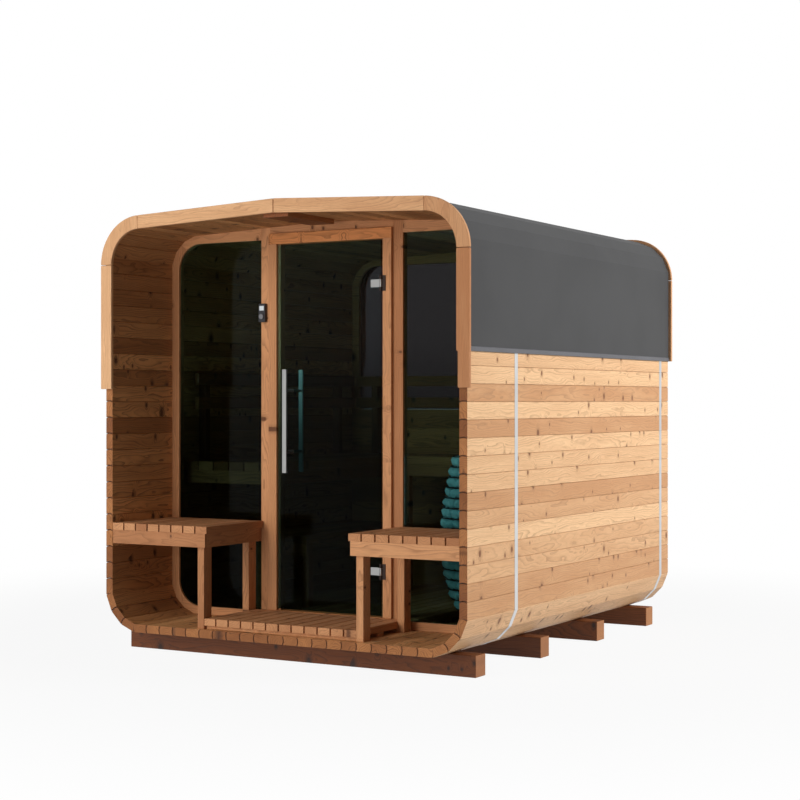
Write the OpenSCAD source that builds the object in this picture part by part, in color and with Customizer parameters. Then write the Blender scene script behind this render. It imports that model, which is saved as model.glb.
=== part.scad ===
// Outdoor sauna cabin: a rounded square barrel of staves on four cross beams, with an open
// porch, a glazed front wall with a hinged glass door, and a hot room with benches and a stove.
// Millimetres. X runs to the right, +Y from the porch to the rear, +Z up.
// The origin is at the middle of the footprint, on the ground.
// Distances called y are measured from the front ends of the staves.

/* [Staves] */
// Thickness of every stave
stave_t = 42; // [34:1:50]
// Width of a stave in the walls, floor and roof, joint to joint
stave_pitch = 85; // [76:1:92]
// Number of staves in each wall
wall_staves = 21; // [20:1:23]
// Number of staves in the floor
floor_staves = 21; // [20:1:23]
// Width of each of the three staves that turn a corner
corner_stave_w = 92; // [84:1:100]
// Length of the staves, front to rear
body_d = 2558; // [2400:10:2800]
// Rise of the roof from its corners to the ridge
roof_rise = 39; // [25:1:60]
// Depth of the V groove along each joint
groove = 2.5; // [1.5:0.5:3.5]

/* [Beams] */
// Height of the cross beams
beam_h = 106; // [90:1:130]
// Width of the cross beams, front to rear
beam_w = 101; // [80:1:120]
// Length of the cross beams
beam_len = 2080; // [1900:10:2150]
// Middle of the first beam, behind the front ends of the staves
beam_first = 209; // [150:1:260]
// Middle of the last beam, in front of the rear ends of the staves
beam_last = 198; // [150:1:260]

/* [End trim] */
// Thickness of the trim on the stave ends
trim_t = 20; // [15:1:26]
// How far the trim stands out past the outside of the staves
trim_over = 21; // [14:1:28]
// How far the trim covers past the inside of the staves
trim_reveal = 7; // [2:1:12]
// Height of the front trim's lower ends above the ground
front_trim_low = 1378; // [1200:1:1500]
// Height at which the right front upright narrows
trim_notch_z = 1550; // [1520:1:1700]
// Depth of that narrowing
trim_notch = 8; // [4:1:12]
// Gap at each joint in the trim
trim_joint = 0.4; // [0.2:0.1:0.9]

/* [Roof cover] */
// Height of the lower edge of the cover
cover_low = 1572; // [1500:1:1700]
// Thickness of the cover sheet
cover_t = 3; // [2:0.5:5]
// Space under the cover, filled by the steel straps
cover_gap = 1.5; // [1.4:0.1:1.9]
// Height of the drip edge below the cover
drip_h = 22; // [16:1:30]
// How far the drip edge stands out from the staves
drip_out = 9; // [7:1:14]
// Thickness of the ridge board under the porch ceiling
ridge_board_t = 25; // [18:1:32]
// Width of the ridge board
ridge_board_w = 150; // [110:1:180]
// Length of the ridge board
ridge_board_len = 430; // [350:1:480]

/* [Straps] */
// Width of the steel straps around the staves
strap_w = 34; // [25:1:45]
// Thickness of the straps
strap_t = 1.2; // [0.8:0.1:1.3]
// Middle of the front strap
strap_front_y = 514; // [500:1:540]
// Middle of the rear strap, in front of the rear ends of the staves
strap_rear = 124; // [78:1:128]

/* [Front wall] */
// Front face of the front wall
wall_y = 510; // [500:1:530]
// Thickness of the front and rear walls
wall_t = 48; // [40:1:60]
// Height of the side panes above the floor
pane_low = 44; // [35:1:60]
// Space between the top of the side panes and the height of the roof's outer corners
pane_head = 85.5; // [73.5:1:163.5]
// Space between the outer side of the panes and the inside of the walls
pane_side = 48.8; // [37:0.1:85]
// Radius of the panes' outer corners
pane_r = 140; // [100:1:170]
// Thickness of the glass
glass_t = 8; // [6:1:10]
// How far the side panes sit behind the wall's face
pane_inset = 14; // [8:1:20]
// How far each fixed pane is let into its frame
pane_rebate = 12; // [8:1:16]
// Outer side of the posts beside the door
post_outer_x = 438; // [430:1:450]
// Outer side of the door frame
jamb_outer_x = 379; // [372:1:390]
// Inner side of the door frame
jamb_inner_x = 328; // [322:1:340]
// How far the door frame stands out from the wall
jamb_out = 18; // [14:1:22]
// Space between the top of the door head and the height of the roof's outer corners
head_gap = 55.5; // [46.5:1:106.5]
// Height of the door head piece
head_h = 57; // [45:1:65]
// Top of the door sill above the floor
sill_h = 56; // [50:1:58]

/* [Door] */
// Gap around the door glass
door_gap = 6; // [5:0.5:8]
// Gap between the door glass and the sill
door_low_gap = 8; // [6:0.5:12]
// Gap at the hinge side of the door glass
hinge_gap = 14; // [12:0.5:16]
// How far the door glass sits behind the front of its frame
door_inset = 8; // [8:0.5:10]
// Radius of the hinge barrel
barrel_r = 7; // [6.5:0.1:7.5]
// Radius of the hinge pin
pin_r = 4; // [3:0.1:4.5]
// Clearance between pin and barrel
pin_clear = 0.15; // [0.1:0.05:0.3]
// Height of the hinge clamp on the glass
clamp_h = 40; // [32:1:50]
// Length of the hinge clamp on the glass
clamp_len = 58; // [50:1:70]
// Thickness of each hinge clamp plate
clamp_t = 6; // [4:0.5:6]
// Height of the hinge leaf on the frame
leaf_h = 80; // [70:1:100]
// Middle of the lower hinge above the floor
hinge_low = 292; // [250:1:400]
// Middle of the upper hinge above the floor
hinge_high = 1772; // [1600:1:1850]
// Length of the handle bars
handle_len = 544; // [450:1:600]
// Width of the handle bars
handle_w = 25; // [18:1:30]
// Depth of the handle bars
handle_t = 12; // [8:1:20]
// Distance between the outer and the inner bar
handle_span = 160; // [120:1:180]
// Middle of the handle above the floor
handle_mid = 1061; // [1000:1:1150]
// Distance between the two standoffs
standoff_pitch = 323; // [280:1:360]
// Radius of the standoffs
standoff_r = 8; // [6:0.5:10]
// Distance from the door's free edge to the middle of the handle
handle_edge = 93; // [60:1:120]

/* [Control unit] */
// Width of the control unit on the left post
control_w = 42; // [36:1:50]
// Height of the control unit
control_h = 99; // [80:1:120]
// Depth of the control unit
control_d = 22; // [16:1:30]
// Middle of the control unit above the floor
control_mid = 1638; // [1500:1:1700]

/* [Porch benches] */
// Height of the porch seats above the floor
seat_h = 526; // [480:1:560]
// Thickness of the bench slats
slat_t = 37; // [30:1:45]
// Gap between slats
slat_gap = 8; // [6:1:12]
// Number of slats in each porch seat
seat_slats = 8; // [7:1:9]
// Inner side of the porch seats, from the middle
seat_inner_x = 425; // [415:1:440]
// How far the slats stand past the bench frame
seat_over = 10; // [6:1:14]
// Height of the rails under the slats
rail_h = 71; // [60:1:90]
// Thickness of the rails
rail_t = 22; // [18:1:28]
// Width of the legs across the bench
leg_w = 40; // [34:1:50]
// Depth of the legs front to rear
leg_d = 66; // [55:1:75]

/* [Duckboards] */
// Number of slats in the porch duckboard
duck_slats = 12; // [10:1:13]
// Thickness of the duckboard slats
duck_t = 36; // [28:1:40]
// Height of the bearers under them
bearer_h = 18; // [14:1:22]
// Width of the bearers
bearer_w = 60; // [45:1:80]
// Largest distance between bearer middles
bearer_pitch = 290; // [240:1:300]
// Front edge of the porch duckboard
duck_front = 25; // [10:1:60]

/* [Rear wall] */
// Inner face of the rear wall, in front of the rear ends of the staves
rear_inset = 148; // [146:1:250]
// Underside of the rear window above the floor
rear_pane_low = 1114; // [1000:1:1200]
// Space between the top of the rear window and the height of the roof's outer corners
rear_pane_head = 77.5; // [68.5:1:153.5]
// Space between each side of the rear window and the inside of the walls
rear_pane_side = 50.8; // [37:0.1:95]
// Height of the boards in the rear wall
rear_board_h = 120; // [90:1:140]

/* [Hot room] */
// Height of the upper benches above the floor
bench_h = 832; // [780:1:900]
// Thickness of the inner bench slats
inner_slat_t = 48; // [36:1:54]
// Inner side of the side bench, from the middle
side_bench_x = 425; // [400:1:500]
// Front end of the side bench
side_bench_y = 618; // [600:1:700]
// Depth of the rear bench
rear_bench_d = 460; // [420:1:520]
// Number of slats across each upper bench
inner_slats = 6; // [5:1:7]
// Height of the step bench above the floor
step_h = 436; // [400:1:480]
// Inner side of the step bench, from the middle
step_x = 277; // [240:1:300]
// Width of the step bench
step_w = 360; // [320:1:400]
// Number of slats in the step bench
step_slats = 4; // [3:1:5]
// Height of the lower backrest rail above the bench
back_low = 292; // [240:1:320]
// Distance between the backrest rails
back_pitch = 135; // [110:1:160]
// Height of a backrest rail
back_h = 65; // [50:1:80]
// Thickness of a backrest rail
back_t = 28; // [20:1:34]

/* [Stove] */
// Middle of the stove, from the middle of the cabin
stove_x = 760; // [740:1:765]
// Middle of the stove, from the front ends of the staves
stove_y = 815; // [810:1:900]
// Largest radius of the stove's wire cage
cage_r = 216; // [190:1:225]
// Radius of the cage at its top and bottom
cage_end_r = 128; // [110:1:150]
// Height of the stove's foot above the floor
stove_low = 97; // [80:1:120]
// Top of the stove above the floor
stove_top = 881; // [800:1:950]
// Number of rings in the cage
cage_rings = 15; // [12:1:18]
// Number of upright wires in the cage
cage_wires = 12; // [8:2:16]
// Radius of the cage wires
wire_r = 4; // [3:0.5:5]

/* [Hidden] */

// Angle between neighbouring staves round a corner
corner_step = 90 / 4;
// Clearance of the end walls and fittings inside the staves
fit_gap = 0.3;
// Roundness of wires, bars and the like
$fn = 48;
arc_fn = 96;

floor_half = floor_staves * stave_pitch / 2;
floor_z = beam_h + stave_t;
corner_run = corner_stave_w * (cos(corner_step) + cos(2 * corner_step) + cos(3 * corner_step));
half_w = floor_half + corner_run;
inner_x = half_w - stave_t;
wall_low_z = beam_h + corner_run;
wall_top_z = wall_low_z + wall_staves * stave_pitch;
eave_z = wall_top_z + corner_run;
ridge_z = eave_z + roof_rise;
slope = atan(roof_rise / floor_half);
beam_pitch = (body_d - beam_first - beam_last) / 3;
rear_y = body_d - rear_inset;
pane_top = eave_z - floor_z - pane_head;
pane_outer_x = inner_x - pane_side;
head_low = eave_z - floor_z - head_gap - head_h;
rear_pane_top = eave_z - floor_z - rear_pane_head;
rear_pane_x = inner_x - rear_pane_side;
// Half width of the flat part of the floor, inside the corner staves
floor_flat = floor_half - stave_t * tan(corner_step / 2);

// Radius of the circle that touches the outside of the corner staves
corner_r = corner_stave_w / 2 / tan(corner_step / 2);
corner_x = half_w - corner_r;
corner_z = ridge_z - corner_x * tan(slope) - corner_r / cos(slope);

// Outer corners of the right half of the section, from the floor's middle to the ridge
function unit(angle) = [cos(angle), sin(angle)];
function turn(start, first, count) =
    [for (i = 0, p = start; i <= count; p = p + corner_stave_w * unit(first + i * corner_step), i = i + 1) p];
floor_corner = turn([floor_half, beam_h], corner_step, 3);
roof_corner = turn([half_w, wall_top_z], 90 + corner_step, 3);
half_section = concat([[0, beam_h]], floor_corner, roof_corner, [[0, ridge_z]]);

// Direction of the line from one point to the next
function heading(a, b) = atan2(b[1] - a[1], b[0] - a[0]);
// A corner point moved inward by d, square to both of its sides
function mitred(p, before, after, d) =
    p + d / cos((after - before) / 2) * [-sin((after + before) / 2), cos((after + before) / 2)];
// The right half of the section, moved inward by d
function inset_half(d) =
    let (n = len(half_section))
    [for (i = [0 : n - 1])
        let (before = i == 0 ? 0 : heading(half_section[i - 1], half_section[i]),
             after = i == n - 1 ? 180 + slope : heading(half_section[i], half_section[i + 1]))
        mitred(half_section[i], before, after, d)];
function whole(points) =
    let (n = len(points))
    concat(points, [for (i = [n - 2 : -1 : 1]) [-points[i][0], points[i][1]]]);

// Outline of a run of staves with a V groove at each joint, from the outer joint points
function stave_run(path, before, after) =
    let (n = len(path),
         angles = concat([before], [for (i = [1 : n - 1]) heading(path[i - 1], path[i])], [after]),
         inner = [for (i = [0 : n - 1]) mitred(path[i], angles[i], angles[i + 1], stave_t)])
    concat(
        [for (i = [0 : n - 1]) each grooved(path[i], angles[i], angles[i + 1], groove, i == 0 || i == n - 1)],
        [for (i = [n - 1 : -1 : 0])
            each grooved(inner[i], angles[i + 1] + 180, angles[i] + 180, groove, i == 0 || i == n - 1)]
    );
function grooved(p, before, after, depth, plain) =
    plain ? [p] : [p - depth * unit(before), mitred(p, before, after, depth), p + depth * unit(after)];

// Stave joints, each list running anticlockwise as seen from the front
floor_path = [for (i = [0 : floor_staves]) [i * stave_pitch - floor_half, beam_h]];
wall_path = [for (i = [0 : wall_staves]) [half_w, wall_low_z + i * stave_pitch]];
roof_path = concat(
    [for (i = [0 : ceil(floor_staves / 2) - 1])
        [floor_half, eave_z] + i * stave_pitch * [-cos(slope), sin(slope)]],
    [[0, ridge_z]]
);

drip_low = cover_low - drip_h;
rear_wall_end = rear_y + wall_t;
jamb_y = wall_y - jamb_out;
door_y = jamb_y + door_inset;
door_left_x = -(jamb_inner_x - door_gap);
door_right_x = jamb_inner_x - hinge_gap;
door_low_z = floor_z + sill_h + door_low_gap;
door_top_z = floor_z + head_low - door_gap;
hinge_x = jamb_inner_x - barrel_r - 1;
hinge_y = jamb_y - barrel_r + 1;
handle_x = door_left_x + handle_edge;
clamp_web = 3;
leaf_t = 3;
leaf_w = 18;
leaf_edge = 1;
knuckle_gap = 0.5;
// How far the stop behind the door's free edge stands in from its jamb
door_stop = 14;
// How far the control unit sits left of the post's middle
control_shift = 12;
knob_out = 8;
screen_depth = 1;
// Space between a bench and the wall or stave ends it comes up to
bench_gap = 1;
seat_z = floor_z + seat_h;
seat_outer_x = inner_x - bench_gap;
duck_z = floor_z + bearer_h + duck_t;
bench_z = floor_z + bench_h;
step_z = floor_z + step_h;
rear_bench_y = rear_y - rear_bench_d;
post_size = 44;
// Free space round the hot room's duckboard, and how far it runs under the rear bench
duck_side_gap = 6;
duck_stove_gap = 40;
duck_wall_gap = 10;
duck_under = 60;
bearer_inset = 20;
// Front end of the step bench behind that of the side bench, and its space to the leg behind it
step_front = 90;
step_leg_gap = 10;
// Depth of the uprights behind the backrest rails, and how far they are notched into them
back_offset = 45;
back_notch = 6;
back_front_gap = 40;
back_end_gap = 20;
upright_inset = 100;
stove_low_z = floor_z + stove_low;
stove_top_z = floor_z + stove_top;
// Space between the stove's rings and its upright wires
wire_gap = 0.8;
base_plate = 8;
base_foot_r = 118;
base_stem_r = 98;
// How far the stones rise above the cage
stone_heap = 26;
// Lip at the foot of the drip edge, and its bevel at the top
drip_lip = 2;
drip_bevel = 4;

wood = "#b9835a";
pale_wood = "#dcb88c";
dark_wood = "#7a5238";

// Puts a piece given from the front stave ends into the cabin's own frame
module placed() {
    translate([0, -body_d / 2, 0]) children();
}

// A box from one corner to the opposite one
module block(low, high) {
    translate(low) cube(high - low);
}

// A section in X and Z drawn out from y0 to y1
module drawn(y0, y1) {
    placed() translate([0, y1, 0]) rotate([90, 0, 0]) linear_extrude(y1 - y0) children();
}

module mirror_if(flip) {
    mirror([flip ? 1 : 0, 0, 0]) children();
}

module beam(index) {
    color(dark_wood) placed()
        block([-beam_len / 2, beam_first + index * beam_pitch - beam_w / 2, 0],
              [beam_len / 2, beam_first + index * beam_pitch + beam_w / 2, beam_h]);
}

module floor_staves() {
    color(wood) drawn(0, body_d) polygon(stave_run(floor_path, -corner_step, corner_step));
}

module wall(flip) {
    color(pale_wood) mirror_if(flip) drawn(0, body_d)
        polygon(stave_run(wall_path, 90 - corner_step, 90 + corner_step));
}

module roof(flip) {
    color(wood) mirror_if(flip) drawn(0, body_d)
        polygon(stave_run(roof_path, 180 - corner_step, 180 + slope));
}

module corner_floor(flip) {
    color(wood) mirror_if(flip) drawn(0, body_d) polygon(stave_run(floor_corner, 0, 90));
}

module corner_roof(flip) {
    color(wood) mirror_if(flip) drawn(0, body_d) polygon(stave_run(roof_corner, 90, 180 - slope));
}

// The part of an offset section above a given height, for sheet on the roof and walls
function over_roof(d, low) =
    let (half = [for (i = [5 : len(half_section) - 1]) inset_half(-d)[i]])
    concat([[half_w + d, low]], half);

module sheet_profile(d0, d1, low) {
    outer = over_roof(d1, low);
    inner = over_roof(d0, low);
    n = len(outer) - 1;
    outer_all = concat(outer, [for (i = [n - 1 : -1 : 0]) [-outer[i][0], outer[i][1]]]);
    inner_all = concat(inner, [for (i = [n - 1 : -1 : 0]) [-inner[i][0], inner[i][1]]]);
    polygon(concat(outer_all, [for (i = [len(inner_all) - 1 : -1 : 0]) inner_all[i]]));
}

module roof_cover() {
    color("#4a4a4c") drawn(1, body_d - 1) sheet_profile(cover_gap, cover_gap + cover_t, cover_low);
}

// Folded edge below the cover, with its foot turned out to shed water
module drip_edges() {
    near = half_w + cover_gap;
    far = half_w + drip_out;
    color("#a8a8a8") for (flip = [false, true]) mirror_if(flip) drawn(1, body_d - 1)
        polygon([[near, drip_low + drip_h / 3], [far - drip_lip, drip_low], [far, drip_low],
                 [far, cover_low - drip_bevel], [far - drip_bevel, cover_low], [near, cover_low]]);
}

module strap(y) {
    drawn(y - strap_w / 2, y + strap_w / 2) difference() {
        polygon(whole(inset_half(-strap_t)));
        polygon(whole(inset_half(-0.05)));
    }
}

module straps() {
    color("silver") {
        strap(strap_front_y);
        strap(body_d - strap_rear);
    }
}

module ridge_board() {
    top = ridge_z - stave_t / cos(slope) - ridge_board_w / 2 * tan(slope) - fit_gap / 2;
    color(dark_wood) placed()
        block([-ridge_board_w / 2, bench_gap, top - ridge_board_t],
              [ridge_board_w / 2, ridge_board_len, top]);
}

// Outline of the section with round roof corners, moved out by d
module round_section(d, low) {
    outer = half_w + d;
    meet = [corner_x, corner_z] + (corner_r + d) * [sin(slope), cos(slope)];
    half = [[outer, low], [outer, corner_z], [corner_x, corner_z], meet, [0, ridge_z + d / cos(slope)]];
    polygon(concat(half, [for (i = [3 : -1 : 0]) [-half[i][0], half[i][1]]]));
    for (side = [-1, 1]) translate([side * corner_x, corner_z]) circle(corner_r + d, $fn = arc_fn);
}

// One half of the end trim: an upright, a curved corner and a sloping board
module trim_half(low, notch) {
    reach = 2 * half_w;
    inner = -stave_t - trim_reveal;
    difference() {
        round_section(trim_over, low);
        round_section(inner, low - 1);
        translate([-reach, 0]) square([reach + trim_joint / 2, 2 * reach]);
        translate([0, corner_z - trim_joint]) square([reach, trim_joint]);
        translate([corner_x, corner_z]) rotate(-slope) translate([-trim_joint, 0]) square([trim_joint, reach]);
        if (notch) translate([half_w + inner - 1, low - 1]) square([trim_notch + 1, trim_notch_z - low + 1]);
    }
}

module front_trim(flip) {
    color(wood) mirror_if(flip) drawn(-trim_t, 0) trim_half(front_trim_low, !flip);
}

module rear_trim(flip) {
    color(wood) mirror_if(flip) drawn(body_d, body_d + trim_t) trim_half(drip_low, false);
}

// The room inside the staves, less the fit
module room_section() {
    polygon(whole(inset_half(stave_t + fit_gap)));
}

// A pane's outline with two round corners on its outer side
module pane_shape(x0, x1, z0, z1, r) {
    square_x = x1 - r;
    translate([x0, z0]) square([square_x - x0, z1 - z0]);
    translate([x0, z0 + r]) square([x1 - x0, z1 - z0 - 2 * r]);
    for (z = [z0 + r, z1 - r]) translate([square_x, z]) circle(r, $fn = arc_fn);
}

module front_pane(grow) {
    pane_shape(post_outer_x - grow, pane_outer_x + grow, floor_z + pane_low - grow,
               floor_z + pane_top + grow, pane_r + grow);
}

// Board frame round a side pane, open towards the post
module front_frame(flip) {
    reach = 3 * half_w;
    pane_y = wall_y + pane_inset;
    color(wood) mirror_if(flip) difference() {
        drawn(wall_y, wall_y + wall_t) difference() {
            room_section();
            translate([-reach + post_outer_x, -1]) square([reach, reach]);
            front_pane(0);
        }
        drawn(pane_y - fit_gap, pane_y + glass_t + fit_gap) front_pane(pane_rebate + fit_gap);
    }
}

module side_glass(flip) {
    pane_y = wall_y + pane_inset;
    color("#1c2624") mirror_if(flip) drawn(pane_y, pane_y + glass_t) difference() {
        front_pane(pane_rebate);
        square([post_outer_x + fit_gap, 2 * ridge_z]);
    }
}

module post(flip) {
    color(wood) mirror_if(flip) drawn(wall_y, wall_y + wall_t) intersection() {
        room_section();
        translate([jamb_outer_x, 0]) square([post_outer_x - jamb_outer_x, 2 * ridge_z]);
    }
}

module jamb(flip) {
    color(wood) mirror_if(flip) placed() {
        block([jamb_inner_x, jamb_y, floor_z + sill_h],
              [jamb_outer_x, wall_y + wall_t, floor_z + head_low]);
        if (flip) block([jamb_inner_x - door_stop, door_y + glass_t + door_gap, floor_z + sill_h],
                        [jamb_inner_x, wall_y + wall_t, floor_z + head_low]);
    }
}

module door_head() {
    color(wood) placed()
        block([-jamb_outer_x, jamb_y, floor_z + head_low],
              [jamb_outer_x, wall_y + wall_t, floor_z + head_low + head_h]);
}

module transom() {
    color(wood) drawn(wall_y, wall_y + wall_t) intersection() {
        room_section();
        translate([-jamb_outer_x, floor_z + head_low + head_h]) square([2 * jamb_outer_x, ridge_z]);
    }
}

module door_sill() {
    color(wood) placed()
        block([-jamb_outer_x, jamb_y, floor_z], [jamb_outer_x, wall_y + wall_t, floor_z + sill_h]);
}

module door_glass() {
    color("#1c2624") difference() {
        placed() block([door_left_x, door_y, door_low_z], [door_right_x, door_y + glass_t, door_top_z]);
        for (side = [-1, 1])
            placed() translate([handle_x, door_y - 1, floor_z + handle_mid + side * standoff_pitch / 2])
                rotate([-90, 0, 0]) cylinder(h = glass_t + 2, r = standoff_r + fit_gap);
    }
}

module door_handle() {
    mid_y = door_y + glass_t / 2;
    color("silver") placed() {
        for (side = [-1, 1])
            block([handle_x - handle_w / 2, mid_y + side * handle_span / 2 - handle_t / 2,
                   floor_z + handle_mid - handle_len / 2],
                  [handle_x + handle_w / 2, mid_y + side * handle_span / 2 + handle_t / 2,
                   floor_z + handle_mid + handle_len / 2]);
        for (side = [-1, 1])
            translate([handle_x, mid_y - handle_span / 2, floor_z + handle_mid + side * standoff_pitch / 2])
                rotate([-90, 0, 0]) cylinder(h = handle_span, r = standoff_r);
    }
}

// Clamp plates on the glass, and the middle knuckle of each hinge
module hinge_clamp(z) {
    low = z - clamp_h / 2;
    high = z + clamp_h / 2;
    near = door_right_x - clamp_len;
    edge = door_right_x + clamp_web;
    front_y = door_y - clamp_t - fit_gap;
    rear_y1 = door_y + glass_t + fit_gap + clamp_t;
    difference() {
        union() {
            block([near, front_y, low], [edge, door_y - fit_gap, high]);
            block([near, door_y + glass_t + fit_gap, low], [edge, rear_y1, high]);
            block([door_right_x + fit_gap, front_y, low], [edge, rear_y1, high]);
            block([edge - 2 * barrel_r, hinge_y, low], [hinge_x, door_y - clamp_t / 2, high]);
            translate([hinge_x, hinge_y, low]) cylinder(h = clamp_h, r = barrel_r);
        }
        translate([hinge_x, hinge_y, low - 1]) cylinder(h = clamp_h + 2, r = pin_r + pin_clear);
    }
}

module hinge_clamps() {
    color("silver") placed() for (z = [hinge_low, hinge_high]) hinge_clamp(floor_z + z);
}

// Leaf on the door frame, its two outer knuckles and the pin
module hinge_leaf(z) {
    knuckle_h = (leaf_h - clamp_h) / 2 - knuckle_gap;
    near = jamb_inner_x + leaf_edge;
    block([near, jamb_y - leaf_t, z - leaf_h / 2], [near + leaf_w, jamb_y, z + leaf_h / 2]);
    for (low = [z - leaf_h / 2, z + leaf_h / 2 - knuckle_h]) {
        translate([hinge_x, hinge_y, low]) cylinder(h = knuckle_h, r = barrel_r);
        block([hinge_x, jamb_y - leaf_t - 2, low], [near + 1, jamb_y - knuckle_gap, low + knuckle_h]);
    }
    translate([hinge_x, hinge_y, z - leaf_h / 2]) cylinder(h = leaf_h, r = pin_r);
}

module hinge_leaves() {
    color("silver") placed() for (z = [hinge_low, hinge_high]) hinge_leaf(floor_z + z);
}

// Control unit with a window above a round knob
module control_unit() {
    mid_x = -(post_outer_x + jamb_outer_x) / 2 - control_shift;
    z = floor_z + control_mid;
    face_y = wall_y - control_d;
    color("#333333") placed() difference() {
        union() {
            block([mid_x - control_w / 2, face_y, z - control_h / 2],
                  [mid_x + control_w / 2, wall_y, z + control_h / 2]);
            translate([mid_x, face_y + screen_depth, z - control_h / 5]) rotate([90, 0, 0])
                cylinder(h = knob_out + screen_depth, r = control_w / 3);
        }
        block([mid_x - control_w / 3, face_y - screen_depth, z + control_h / 8],
              [mid_x + control_w / 3, face_y + screen_depth, z + control_h / 2.7]);
    }
}

// Slats side by side along one direction, filling a span with equal gaps
module slats_along_y(x0, x1, y0, y1, z_top, thick, count) {
    w = (x1 - x0 - (count - 1) * slat_gap) / count;
    for (i = [0 : count - 1])
        block([x0 + i * (w + slat_gap), y0, z_top - thick], [x0 + i * (w + slat_gap) + w, y1, z_top]);
}

module slats_along_x(x0, x1, y0, y1, z_top, thick, count) {
    w = (y1 - y0 - (count - 1) * slat_gap) / count;
    for (i = [0 : count - 1])
        block([x0, y0 + i * (w + slat_gap), z_top - thick], [x1, y0 + i * (w + slat_gap) + w, z_top]);
}

module porch_bench(flip) {
    front = 2 * bench_gap;
    back = wall_y - bench_gap;
    rail_top = seat_z - slat_t;
    rail_low = rail_top - rail_h;
    rail_x = seat_inner_x + seat_over;
    color(wood) mirror_if(flip) placed() {
        slats_along_y(seat_inner_x, seat_outer_x, bench_gap, back, seat_z, slat_t, seat_slats);
        block([rail_x, front, rail_low], [seat_outer_x, front + rail_t, rail_top]);
        block([rail_x, back - rail_t, rail_low], [seat_outer_x, back, rail_top]);
        block([rail_x, front, rail_low], [rail_x + rail_t, back, rail_top]);
        block([seat_outer_x - rail_t, front, rail_low], [seat_outer_x, back, rail_top]);
        for (y = [front + rail_t, back - rail_t - leg_d])
            block([rail_x + rail_t, y, floor_z], [rail_x + rail_t + leg_w, y + leg_d, rail_top]);
    }
}

module porch_duckboard() {
    side = seat_inner_x + seat_over + rail_t - bench_gap;
    back = jamb_y - bench_gap;
    color(wood) placed() {
        slats_along_y(-side, side, duck_front, back, duck_z, duck_t, duck_slats);
        bearers(-side, side, duck_front, back);
    }
}

// Bearers across the underside of a duckboard, evenly spaced between its ends
module bearers(x0, x1, y0, y1) {
    run = y1 - y0 - 2 * bearer_inset - bearer_w;
    spans = ceil(run / bearer_pitch);
    for (i = [0 : spans]) {
        y = y0 + bearer_inset + i * run / spans;
        block([x0, y, floor_z], [x1, y + bearer_w, floor_z + bearer_h]);
    }
}

// Horizontal boards that close the rear wall below its window
module rear_boards() {
    top = floor_z + rear_pane_low;
    color(wood) difference() {
        drawn(rear_y, rear_wall_end) intersection() {
            room_section();
            translate([-half_w, 0]) square([2 * half_w, top - fit_gap]);
        }
        for (z = [top - rear_board_h : -rear_board_h : floor_z + rear_board_h / 3])
            for (y = [rear_y, rear_wall_end])
                placed() translate([0, y, z]) rotate([45, 0, 0])
                    cube([2 * half_w, groove * sqrt(2), groove * sqrt(2)], center = true);
    }
}

module rear_pane(grow) {
    pane_shape(0, rear_pane_x + grow, floor_z + rear_pane_low - grow, floor_z + rear_pane_top + grow,
               pane_r + grow);
    mirror([1, 0]) pane_shape(0, rear_pane_x + grow, floor_z + rear_pane_low - grow,
                              floor_z + rear_pane_top + grow, pane_r + grow);
}

// Window shape with square lower corners, because the boards end there
module rear_opening(grow) {
    rear_pane(grow);
    translate([-rear_pane_x - grow, floor_z + rear_pane_low - 1])
        square([2 * (rear_pane_x + grow), 2 * pane_r]);
}

module rear_frame() {
    pane_y = rear_wall_end - pane_inset - glass_t;
    color(wood) difference() {
        drawn(rear_y, rear_wall_end) difference() {
            room_section();
            translate([-half_w, 0]) square([2 * half_w, floor_z + rear_pane_low]);
            rear_opening(0);
        }
        drawn(pane_y - fit_gap, pane_y + glass_t + fit_gap) rear_opening(pane_rebate + fit_gap);
    }
}

module rear_glass() {
    pane_y = rear_wall_end - pane_inset - glass_t;
    color("#1c2624") drawn(pane_y, pane_y + glass_t) difference() {
        rear_opening(pane_rebate);
        translate([-2 * half_w, 0]) square([4 * half_w, floor_z + rear_pane_low + fit_gap]);
    }
}

module room_duckboard() {
    x0 = -step_x + duck_side_gap;
    x1 = stove_x - cage_r - duck_stove_gap;
    y0 = wall_y + wall_t + duck_wall_gap;
    y1 = rear_bench_y + duck_under;
    color(wood) placed() {
        slats_along_y(x0, x1, y0, y1, duck_z, duck_t, duck_slats - 2);
        bearers(x0, x1, y0, y1);
    }
}

// Upper bench along the left wall, with its frame and legs
module side_bench() {
    x0 = -inner_x + bench_gap;
    x1 = -side_bench_x;
    y0 = side_bench_y + bench_gap;
    y1 = rear_y - bench_gap;
    cross = rear_bench_y - rail_t - bench_gap;
    under = bench_z - inner_slat_t;
    color(wood) placed() {
        slats_along_y(x0, x1, side_bench_y, y1, bench_z, inner_slat_t, inner_slats);
        for (x = [x0, x1 - rail_t]) block([x, y0, under - rail_h], [x + rail_t, y1, under]);
        for (y = [y0, cross, y1 - rail_t])
            block([x0, y, under - rail_h], [x1, y + rail_t, under]);
        for (y = [y0 + rail_t, cross - post_size])
            block([x1 - rail_t - post_size, y, floor_z], [x1 - rail_t, y + post_size, under]);
    }
}

// Upper bench along the rear wall
module rear_bench() {
    x0 = -side_bench_x + bench_gap;
    x1 = inner_x - bench_gap;
    y0 = rear_bench_y + bench_gap;
    y1 = rear_y - bench_gap;
    under = bench_z - inner_slat_t;
    color(wood) placed() {
        slats_along_x(x0, x1, rear_bench_y, y1, bench_z, inner_slat_t, inner_slats - 1);
        for (y = [y0, y1 - rail_t]) block([x0, y, under - rail_h], [x1, y + rail_t, under]);
        for (x = [x0, (x0 + x1 - rail_t) / 2, x1 - rail_t])
            block([x, y0, under - rail_h], [x + rail_t, y1, under]);
        for (x = [x0 + rail_t, floor_flat - post_size - bench_gap])
            block([x, y0 + rail_t, floor_z], [x + post_size, y0 + rail_t + post_size, under]);
    }
}

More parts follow.
